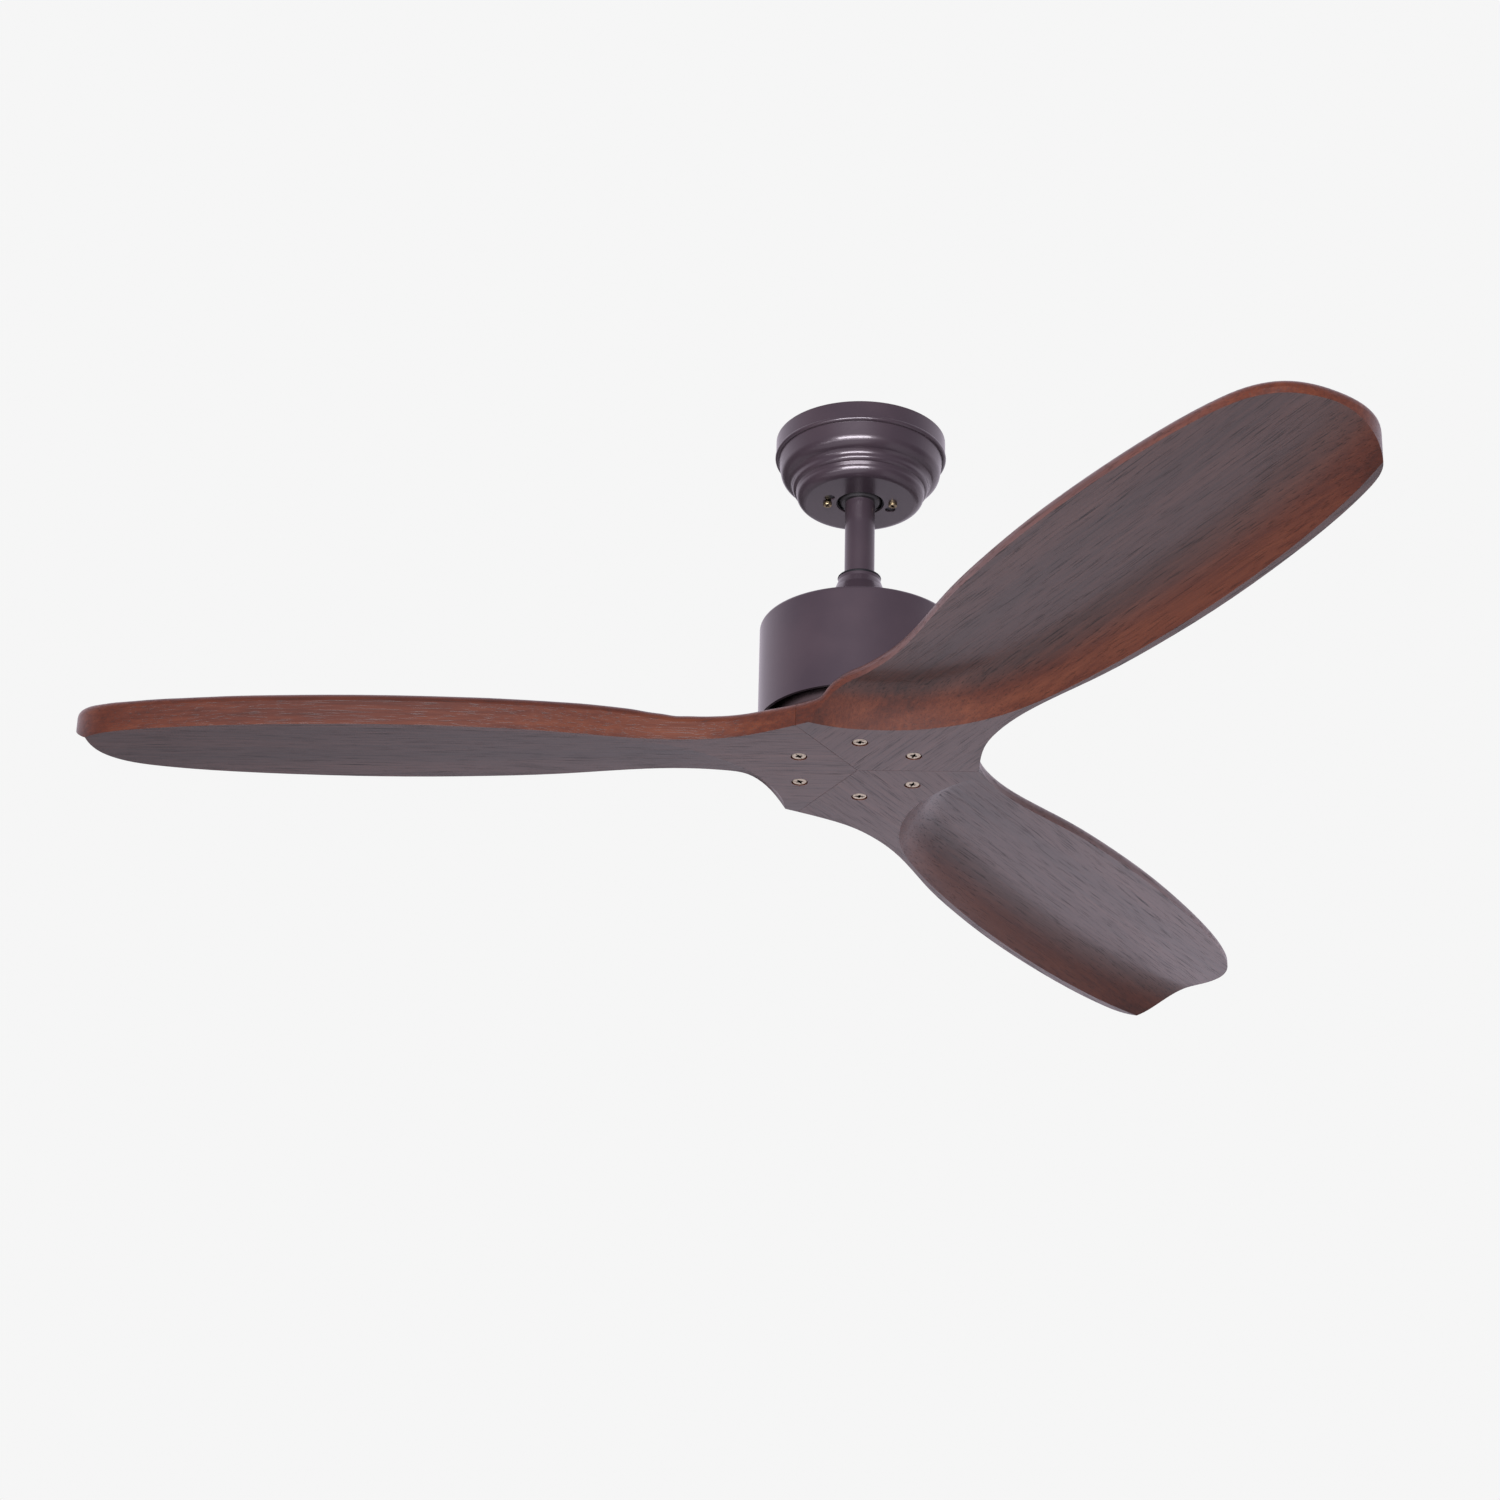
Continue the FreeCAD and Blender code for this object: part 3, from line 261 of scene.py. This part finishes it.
# %% Sprayed enamel
BRONZE = (0.045, 0.032, 0.041)
BRONZE_WARM = (0.056, 0.039, 0.048)
CASTING = (0.060, 0.042, 0.046)
CASTING_WARM = (0.080, 0.056, 0.058)


def sprayed_enamel(name, shade, warm_shade, gloss_roughness=0.30):
    paint = Finish(name)
    drift = paint.noise((14.0, 14.0, 14.0), 3.0)
    speck = paint.noise((900.0, 900.0, 900.0), 2.0)
    paint.set(Base_Color=paint.blend(drift.step(0.35, 0.70), shade, warm_shade),
              Roughness=drift * 0.08 + speck * 0.06 + (gloss_roughness - 0.06),
              Coat_Weight=0.35, Coat_Roughness=0.10, Metallic=0.25)
    paint.bump(paint.noise((420.0, 420.0, 420.0), 2.0), 0.00006, 0.5)
    return paint


sprayed_enamel("dark bronze enamel", BRONZE, BRONZE_WARM).on(
    "canopy", "down_rod", "coupling_cover", "motor_housing")
sprayed_enamel("bronze enamel on castings", CASTING, CASTING_WARM, 0.42).on(
    "rotor_bell", "rotor_top_cover", "blade_carrier")

# %% [markdown]
# ## Zinc, nickel and brass
#
# The ceiling strap and its legs are pressed from galvanised sheet, whose zinc freezes in
# large pale flakes. Voronoi cells have just that look: each flake gets its own
# brightness and shine. Plated screws are smoother: bright zinc with a faint blue cast
# inside the fan, warm nickel on the blade screws and dull brass on the canopy's. The
# dish under the ball gets the set screws' black, as painted shade for the dark inside
# the canopy against the ceiling.

# %% Galvanised sheet
def galvanised_sheet():
    zinc = Finish("galvanised sheet")
    flake = zinc.cells((160.0, 160.0, 160.0), "F1", "Color")
    shine = zinc.node("ShaderNodeSeparateColor", {}, {0: flake}, "Red")
    dirt = zinc.noise((40.0, 40.0, 40.0), 4.0).step(0.55, 0.80)
    pale = zinc.blend(shine, (0.46, 0.47, 0.48), (0.64, 0.65, 0.65))
    zinc.set(Base_Color=zinc.blend(dirt * 0.4, pale, (0.30, 0.29, 0.27)), Metallic=0.92,
             Roughness=shine * 0.16 + dirt * 0.15 + 0.30)
    zinc.bump(zinc.cells((160.0, 160.0, 160.0)), 0.00004, 0.5)
    return zinc


galvanised_sheet().on("hanger_bracket", "bracket_legs")


# %% Plated screws and pins
def plated(name, bright, worn, roughness):
    plate = Finish(name)
    wear = plate.noise((260.0, 260.0, 260.0), 4.0, 0.6).step(0.45, 0.75)
    fine = plate.noise((1800.0, 1800.0, 300.0), 2.0)
    plate.set(Base_Color=plate.blend(wear, bright, worn), Metallic=1.0,
              Roughness=fine * 0.12 + wear * 0.12 + roughness)
    plate.bump(fine, 0.00002, 0.5)
    return plate


plated("warm nickel screws", (0.74, 0.66, 0.50), (0.50, 0.42, 0.31), 0.20).on(
    "blade_screws")
plated("dull brass screws", (0.34, 0.27, 0.16), (0.20, 0.15, 0.09), 0.30).on(
    "canopy_screws")
plated("bright zinc screws", (0.60, 0.63, 0.67), (0.45, 0.46, 0.47), 0.20).on(
    "earth_screw", "terminal_screws", "housing_screws", "rotor_cover_screws",
    "carrier_screws", "clevis_pin", "cotter_pin", "ball_pin", "shaft_nut",
    "bearing_lock_nut")
# On ball_seat_dish this black is painted shade for the dark inside the canopy; the other
# parts here are truly black oxide.
plated("black oxide", (0.045, 0.045, 0.050), (0.10, 0.095, 0.090), 0.32).on(
    "ball_set_screw", "coupling_set_screws", "shaft_circlip", "ball_seat_dish")

# %% [markdown]
# ## The screws that show
#
# Two machine screws hold each blade, six in all, and two smaller ones hold the canopy.
# Their flat heads are the brightest spots on the fan, so they are built finely. A cross
# recess is hard to cut with a knife tool but easy to grow: a grid of nine squares loses
# its corners, the plus that is left is pressed down into the head, and its outline is
# bridged out to a round rim. The shank is a rod that is drawn out of the head in steps,
# with every second step a little wider, which looks like a thread at this size. Each
# screw is turned by its own angle, because no two are ever driven home alike.

# %% A cross-recess screw, point up
THREAD_PITCH = 0.0008
THREAD_ROOT = 0.86          # the thread's root, as a share of the shank's radius
THREAD_CREST = 0.995        # each crest's height, as a share of whole turns
HEAD_CLEARANCE = 0.0001     # the head stands this much higher than the CAD's
TURN_PER_METRE = 40.0       # how the angle a screw stops at changes with its place
SOFT_EDGE = 0.00015         # width of the rounding on every sharp edge
SHARP = math.radians(35.0)  # an edge that turns more than this is rounded
MERGE = 0.00002             # points nearer to each other than this are one point


def ring(shape, radius, height, count):
    verts = bmesh.ops.create_circle(shape, segments=count, radius=radius)["verts"]
    bmesh.ops.translate(shape, verts=verts, vec=(0.0, 0.0, height))
    round_verts = set(verts)
    return [edge for edge in shape.edges if round_verts.issuperset(edge.verts)]


def boundary(shape):
    return [edge for edge in shape.edges if edge.is_boundary]


def extruded(shape, edges):
    """Extrude the edges in place, and give back the new edges."""
    grown = bmesh.ops.extrude_edge_only(shape, edges=edges)
    return [item for item in grown["geom"] if isinstance(item, bmesh.types.BMEdge)]


def screw_head(shape, radius, height, recess):
    """The head hangs below height 0: a plus-shaped recess, a flat face, a round rim."""
    bmesh.ops.create_grid(shape, x_segments=3, y_segments=3, size=recess)
    middles = [(face, face.calc_center_median()) for face in shape.faces]
    corners = [face for face, middle in middles
               if min(abs(middle.x), abs(middle.y)) > recess * 0.3]
    bmesh.ops.delete(shape, geom=corners, context="FACES")
    for vert in shape.verts:
        vert.co.z = -height
    bmesh.ops.subdivide_edges(shape, edges=boundary(shape), cuts=1)
    mouth = extruded(shape, boundary(shape))
    mouth_verts = {vert for edge in mouth for vert in edge.verts}
    floor = [vert for vert in shape.verts if vert not in mouth_verts]
    bmesh.ops.translate(shape, verts=floor, vec=(0.0, 0.0, height * 0.55))
    rim = ring(shape, radius * 0.90, -height, len(mouth))
    bmesh.ops.bridge_loops(shape, edges=mouth + rim)
    return rim


def drawn_out(shape, edges, radii_heights):
    """Carry an open ring on through the given radii and heights, and close the end."""
    for radius, height in radii_heights:
        edges = extruded(shape, edges)
        for vert in {vert for edge in edges for vert in edge.verts}:
            flat = Vector((vert.co.x, vert.co.y)).normalized() * radius
            vert.co = (flat.x, flat.y, height)
    bmesh.ops.contextual_create(shape, geom=edges)


def screw_outline(head, height, shank, length):
    """Radii and heights: round the rim, under the head, then along the thread."""
    outline = [(head * 0.97, -height * 0.93), (head, -height * 0.78), (head, 0.0),
               (shank, 0.0)]
    for turn in range(int(length / THREAD_PITCH)):
        outline.append((shank * THREAD_ROOT, THREAD_PITCH * (turn + 0.5)))
        outline.append((shank, THREAD_PITCH * (turn + 1.0) * THREAD_CREST))
    return outline


def screws(name, node, body, head, height, shank, length, recess):
    """One screw for each of the node's screws, at the centre of each one's box."""
    whole = bmesh.new()
    places = screw_places(node, height + HEAD_CLEARANCE)
    for place in places:
        one = bmesh.new()
        rim = screw_head(one, head, height, recess)
        drawn_out(one, rim, screw_outline(head, height, shank, length))
        bmesh.ops.recalc_face_normals(one, faces=one.faces)
        bmesh.ops.rotate(one, verts=one.verts, cent=(0.0, 0.0, 0.0),
                         matrix=Matrix.Rotation(place.x * TURN_PER_METRE, 3, "Z"))
        bmesh.ops.translate(one, verts=one.verts, vec=place)
        part = bpy.data.meshes.new(name)
        one.to_mesh(part)
        one.free()
        whole.from_mesh(part)
    mesh = bpy.data.meshes.new(name)
    whole.to_mesh(mesh)
    whole.free()
    piece = bpy.data.objects.new(name, mesh)
    bpy.context.collection.objects.link(piece)
    mesh.materials.append(nodes[node].material_slots[0].material)
    edge = piece.modifiers.new("soft edges", "BEVEL")
    edge.width = SOFT_EDGE
    edge.segments = 2
    edge.limit_method = "ANGLE"
    edge.angle_limit = SHARP
    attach(piece, body)
    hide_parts(node)
    print(name, len(places), "screws,", len(mesh.polygons), "faces")


def screw_places(node, head_height):
    """Where each screw of a node stands: the seat that its head rests on."""
    shape = bmesh.new()
    shape.from_mesh(nodes[node].data)
    bmesh.ops.remove_doubles(shape, verts=shape.verts, dist=MERGE)
    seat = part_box(node)[0].z + head_height
    left = set(shape.verts)
    places = []
    for first in shape.verts:
        if first not in left:
            continue
        left.remove(first)
        island = [first]
        for vert in island:
            for edge in vert.link_edges:
                other = edge.other_vert(vert)
                if other in left:
                    left.remove(other)
                    island.append(other)
        xs = [vert.co.x for vert in island]
        ys = [vert.co.y for vert in island]
        places.append(Vector(((min(xs) + max(xs)) / 2, (min(ys) + max(ys)) / 2, seat)))
    shape.free()
    return places


# Head radius, head height, shank radius, shank length and half the cross's width.
BLADE_SCREW = (0.0062, 0.0029, 0.0025, 0.0268, 0.0030)
CANOPY_SCREW = (0.0038, 0.0024, 0.0020, 0.0088, 0.0019)

screws("blade_screw_heads", "blade_screws", "rotor", *BLADE_SCREW)
screws("canopy_screw_heads", "canopy_screws", "ceiling_mount", *CANOPY_SCREW)

# %% [markdown]
# ## Turned, ground and rolled steel
#
# The shaft and the support plate are turned on a lathe. The tool leaves fine rings round
# the axis on flat faces and a fine thread along the height on round ones. Both are waves,
# one of the distance from the axis and one of the height, and they only change the shine
# and a hair of relief. Bearing rings and balls are ground, so they keep only a trace.

# %% Marks of the lathe
def turned_metal(name, colour, shade, pitch, roughness, depth):
    metal = Finish(name)
    rings = ((metal.radius() + metal.axis("Z")) / pitch).wave()
    cloud = metal.noise((70.0, 70.0, 70.0), 3.0)
    metal.set(Base_Color=metal.blend(cloud, colour, shade), Metallic=1.0,
              Roughness=rings * 0.10 + cloud * 0.08 + roughness)
    metal.bump(rings, depth, 0.6)
    return metal


turned_metal("turned steel", (0.52, 0.52, 0.53), (0.40, 0.40, 0.41), 0.0008, 0.24,
             0.00003).on("housing_support_plate", "motor_shaft")
turned_metal("ground bearing steel", (0.66, 0.66, 0.67), (0.58, 0.58, 0.60), 0.0003, 0.10,
             0.000004).on("lower_bearing_inner_ring", "lower_bearing_outer_ring",
                          "lower_bearing_balls", "upper_bearing_inner_ring",
                          "upper_bearing_outer_ring", "upper_bearing_balls")
turned_metal("cast aluminium", (0.58, 0.59, 0.61), (0.46, 0.47, 0.49), 0.0015, 0.38,
             0.00005).on("stator_hub")
turned_metal("rolled back iron", (0.34, 0.33, 0.33), (0.24, 0.23, 0.22), 0.0012, 0.36,
             0.00004).on("rotor_back_iron")
turned_metal("nickel on magnets", (0.60, 0.58, 0.55), (0.52, 0.50, 0.48), 0.0006, 0.16,
             0.000008).on("rotor_magnets")

# %% [markdown]
# ## Castings, rubber and plastics
#
# The hanging ball and the coupling are castings: their skin is pitted by the sand or the
# die, and the coating pools in the pits. Rubber is dull and a little dusty. Nylon is
# slightly milky, so it gets a weak scattering under its surface.

# %% Cast and coated
def cast_skin(name, coat, pit, grain, roughness):
    skin = Finish(name)
    pits = skin.noise((grain, grain, grain), 4.0, 0.65)
    rub = skin.noise((55.0, 55.0, 55.0), 3.0).step(0.58, 0.78)
    skin.set(Base_Color=skin.blend(rub, coat, pit), Metallic=0.35,
             Roughness=pits * 0.20 + rub * 0.10 + roughness)
    skin.bump(pits, 0.00018, 0.7)
    return skin


cast_skin("black coated zinc", (0.030, 0.028, 0.030), (0.075, 0.070, 0.068), 700.0,
          0.30).on("hanger_ball")
cast_skin("painted cast iron", (0.055, 0.040, 0.042), (0.095, 0.072, 0.066), 480.0,
          0.40).on("motor_coupling")


# %% Rubber
def rubber():
    black = Finish("black rubber")
    bloom = black.noise((120.0, 120.0, 120.0), 4.0).step(0.45, 0.75)
    black.set(Base_Color=black.blend(bloom, (0.004, 0.004, 0.006), (0.010, 0.009, 0.011)),
              Roughness=bloom * 0.15 + 0.60, Specular_IOR_Level=0.25)
    black.bump(black.noise((1300.0, 1300.0, 1300.0), 2.0), 0.00005, 0.5)
    return black


rubber().on("collar_ring", "blade_gasket_1", "blade_gasket_2", "blade_gasket_3")


# %% Nylon in its several colours
def nylon(name, colour, deep, roughness=0.42):
    plastic = Finish(name)
    flow = plastic.noise((60.0, 60.0, 220.0), 3.0)
    plastic.set(Base_Color=plastic.blend(flow, colour, deep),
                Roughness=flow * 0.12 + roughness, Subsurface_Weight=0.08,
                Subsurface_Radius=(0.002, 0.0015, 0.001))
    plastic.bump(plastic.noise((1500.0, 1500.0, 1500.0), 2.0), 0.00003, 0.5)
    return plastic


nylon("natural nylon", (0.70, 0.66, 0.54), (0.60, 0.55, 0.42)).on("terminal_block")
nylon("white nylon", (0.74, 0.74, 0.71), (0.64, 0.64, 0.60)).on("board_standoffs")
nylon("amber cage nylon", (0.42, 0.24, 0.07), (0.30, 0.15, 0.04)).on(
    "lower_bearing_cage", "upper_bearing_cage")
nylon("greased black nylon", (0.022, 0.022, 0.024), (0.036, 0.035, 0.033), 0.30).on(
    "ball_seat_liner")

# %% [markdown]
# ## Inside the motor
#
# The stator is a stack of thin steel sheets, so its sides show a fine line for each
# sheet. The coils are enamelled copper wire wound round each tooth: the turns lie side
# by side outwards along the tooth, so stripes of constant distance from the axis stand
# for them. The driver board is green lacquer over copper tracks.

# %% Laminations
LAMINATION = 0.0005


def laminations():
    stack = Finish("stacked laminations")
    sheets = (stack.axis("Z") / LAMINATION).wave()
    stain = stack.noise((90.0, 90.0, 400.0), 3.0)
    stack.set(Base_Color=stack.blend(sheets * 0.6 + stain * 0.4, (0.20, 0.20, 0.22),
                                     (0.42, 0.43, 0.46)), Metallic=0.9,
              Roughness=stain * 0.15 + sheets * 0.10 + 0.32)
    stack.bump(sheets, 0.00008, 0.8)
    return stack


laminations().on("stator_core")

# %% Copper turns
WIRE = 0.0009


def copper_turns():
    copper = Finish("enamelled copper wire")
    wander = copper.noise((60.0, 60.0, 60.0), 2.0)
    turns = (copper.radius() / WIRE + wander * 0.8).wave()
    copper.set(Base_Color=copper.blend(turns, (0.20, 0.050, 0.018), (0.62, 0.22, 0.09)),
               Metallic=0.85, Roughness=0.38 - turns * 0.12, Coat_Weight=0.5,
               Coat_Roughness=0.1)
    copper.bump(turns, 0.0003, 0.9)
    return copper


copper_turns().on("stator_coils")


# %% Driver board and its components
def green_board():
    board = Finish("green circuit board")
    tracks = board.cells((150.0, 150.0, 4.0), "DISTANCE_TO_EDGE").step(0.03, 0.07)
    weave = board.noise((1200.0, 1200.0, 50.0), 2.0)
    green = board.blend(weave, (0.012, 0.085, 0.035), (0.018, 0.120, 0.050))
    board.set(Base_Color=board.blend(tracks, (0.060, 0.24, 0.070), green),
              Roughness=weave * 0.10 + 0.26, Coat_Weight=0.5, Coat_Roughness=0.15)
    board.bump(tracks, 0.00006, 0.6)
    return board


def sleeved_components():
    black = Finish("component sleeves")
    haze = black.noise((300.0, 300.0, 90.0), 3.0)
    black.set(Base_Color=black.blend(haze, (0.016, 0.017, 0.022), (0.040, 0.042, 0.052)),
              Roughness=haze * 0.20 + 0.28)
    black.bump(haze, 0.00005, 0.4)
    return black


green_board().on("driver_board")
sleeved_components().on("driver_components")

# %% [markdown]
# ## The studio
#
# The fan hangs in a bright room. A broad soft light stands in front, slightly to the left
# and a little below the motor, with a weak strip light lower down. The far side of the
# room is bright, and the near side and the left are dim. The room is the world's own
# light, drawn from the direction alone, so that varnish and enamel have something to
# mirror. To the camera the wall itself shows as one even pale grey.

# %% The room's light
WALL = 0.921                # the even grey that shows behind the fan
ROOM_TINT = (0.95, 0.86, 1.0)


def room_light():
    world = bpy.data.worlds.new("bright room")
    bpy.context.scene.world = world
    world.use_nodes = True
    tree = world.node_tree
    tree.nodes.clear()

    def add(kind, **settings):
        made = tree.nodes.new(kind)
        for name, value in settings.items():
            setattr(made, name, value)
        return made

    def fade(source, low, high, start, end):
        """From start, where the source is low, to end, where it is high."""
        made = add("ShaderNodeMapRange", interpolation_type="SMOOTHSTEP")
        tree.links.new(source, made.inputs["Value"])
        for name, value in (("From Min", low), ("From Max", high), ("To Min", start),
                            ("To Max", end)):
            made.inputs[name].default_value = value
        return made.outputs[0]

    direction = add("ShaderNodeTexCoord")
    split = add("ShaderNodeSeparateXYZ")
    tree.links.new(direction.outputs["Generated"], split.inputs[0])
    behind = fade(split.outputs["Y"], -0.05, 0.70, 0.10, 1.00)
    side = fade(split.outputs["X"], -0.38, 0.10, 0.12, 1.0)
    low_room = add("ShaderNodeMath", operation="MULTIPLY")
    tree.links.new(behind, low_room.inputs[0])
    tree.links.new(side, low_room.inputs[1])
    ceiling = fade(split.outputs["Y"], -0.6, 0.5, 0.25, 0.95)
    above = fade(split.outputs["Z"], 0.0, 0.30, 0.0, 1.0)
    strength = add("ShaderNodeMix")
    tree.links.new(above, strength.inputs[0])
    tree.links.new(low_room.outputs[0], strength.inputs[2])
    tree.links.new(ceiling, strength.inputs[3])
    room = add("ShaderNodeBackground")
    room.inputs["Color"].default_value = (*ROOM_TINT, 1.0)
    tree.links.new(strength.outputs[0], room.inputs["Strength"])
    wall = add("ShaderNodeBackground")
    wall.inputs["Color"].default_value = (WALL, WALL, WALL, 1.0)
    seen = add("ShaderNodeLightPath")
    choose = add("ShaderNodeMixShader")
    tree.links.new(seen.outputs["Is Camera Ray"], choose.inputs[0])
    tree.links.new(room.outputs[0], choose.inputs[1])
    tree.links.new(wall.outputs[0], choose.inputs[2])
    out = add("ShaderNodeOutputWorld")
    tree.links.new(choose.outputs[0], out.inputs["Surface"])


room_light()


# %% The soft lights
MOTOR_MIDDLE = Vector((0.0, 0.0, -0.25))
LAMP_COLOUR = (0.97, 0.94, 1.0)


def soft_light(name, direction, distance, width, height, watts):
    """A rectangular light that faces the motor from the given direction."""
    data = bpy.data.lights.new(name, "AREA")
    data.shape = "RECTANGLE"
    data.size = width
    data.size_y = height
    data.energy = watts
    data.color = LAMP_COLOUR
    lamp = bpy.data.objects.new(name, data)
    bpy.context.collection.objects.link(lamp)
    away = Vector(direction).normalized()
    lamp.location = MOTOR_MIDDLE + away * distance
    lamp.rotation_euler = away.to_track_quat("Z", "Y").to_euler()
    lamp.visible_camera = False


soft_light("front softbox", (-0.15, -0.98, -0.12), 3.2, 2.6, 0.9, 190.0)
soft_light("low strip light", (-0.39, -0.835, -0.388), 3.0, 3.4, 0.22, 20.0)

# %% [markdown]
# ## Floor and camera
#
# A pale floor lies well below, as in a real room. The camera stands in front and below,
# looking up at the fan, with a long lens and a slight tilt to one side.

# %% Pale floor
FLOOR_HEIGHT = -2.6
FLOOR_HALF = 4.6


def pale_floor():
    shape = bmesh.new()
    bmesh.ops.create_grid(shape, x_segments=8, y_segments=8, size=FLOOR_HALF)
    bmesh.ops.translate(shape, verts=shape.verts, vec=(0.0, 0.0, FLOOR_HEIGHT))
    mesh = bpy.data.meshes.new("pale floor")
    shape.to_mesh(mesh)
    shape.free()
    floor = bpy.data.objects.new("pale_floor", mesh)
    bpy.context.collection.objects.link(floor)
    paint = Finish("pale floor paint")
    cloud = paint.noise((1.5, 1.5, 1.5), 3.0)
    paint.set(Base_Color=paint.blend(cloud, (0.50, 0.51, 0.50), (0.56, 0.57, 0.56)),
              Roughness=cloud * 0.1 + 0.6)
    mesh.materials.append(paint.material)


pale_floor()

# %% Camera
CAMERA_PLACE = Vector((-0.0464, -2.6740, -1.5251))
CAMERA_RISE = math.radians(24.631)
CAMERA_TURN = math.radians(-0.955)
CAMERA_ROLL = math.radians(1.424)
FAN_TURN = math.radians(0.978)  # the camera is carried this far round the fan's axis
SENSOR = 36.0
LENS = 83.41


def look_up_camera():
    data = bpy.data.cameras.new("camera")
    data.sensor_width = SENSOR
    data.lens = LENS
    camera = bpy.data.objects.new("camera", data)
    bpy.context.collection.objects.link(camera)
    forward = Vector((math.sin(CAMERA_TURN) * math.cos(CAMERA_RISE),
                      math.cos(CAMERA_TURN) * math.cos(CAMERA_RISE),
                      math.sin(CAMERA_RISE)))
    level = Vector((math.cos(CAMERA_TURN), -math.sin(CAMERA_TURN), 0.0))
    upright = level.cross(forward)
    right = level * math.cos(CAMERA_ROLL) + upright * math.sin(CAMERA_ROLL)
    up = upright * math.cos(CAMERA_ROLL) - level * math.sin(CAMERA_ROLL)
    axes = Matrix((right, up, -forward)).transposed().to_4x4()
    camera.matrix_world = (Matrix.Rotation(FAN_TURN, 4, "Z")
                           @ Matrix.Translation(CAMERA_PLACE) @ axes)
    bpy.context.scene.camera = camera


look_up_camera()
bpy.context.scene.view_settings.view_transform = "Standard"
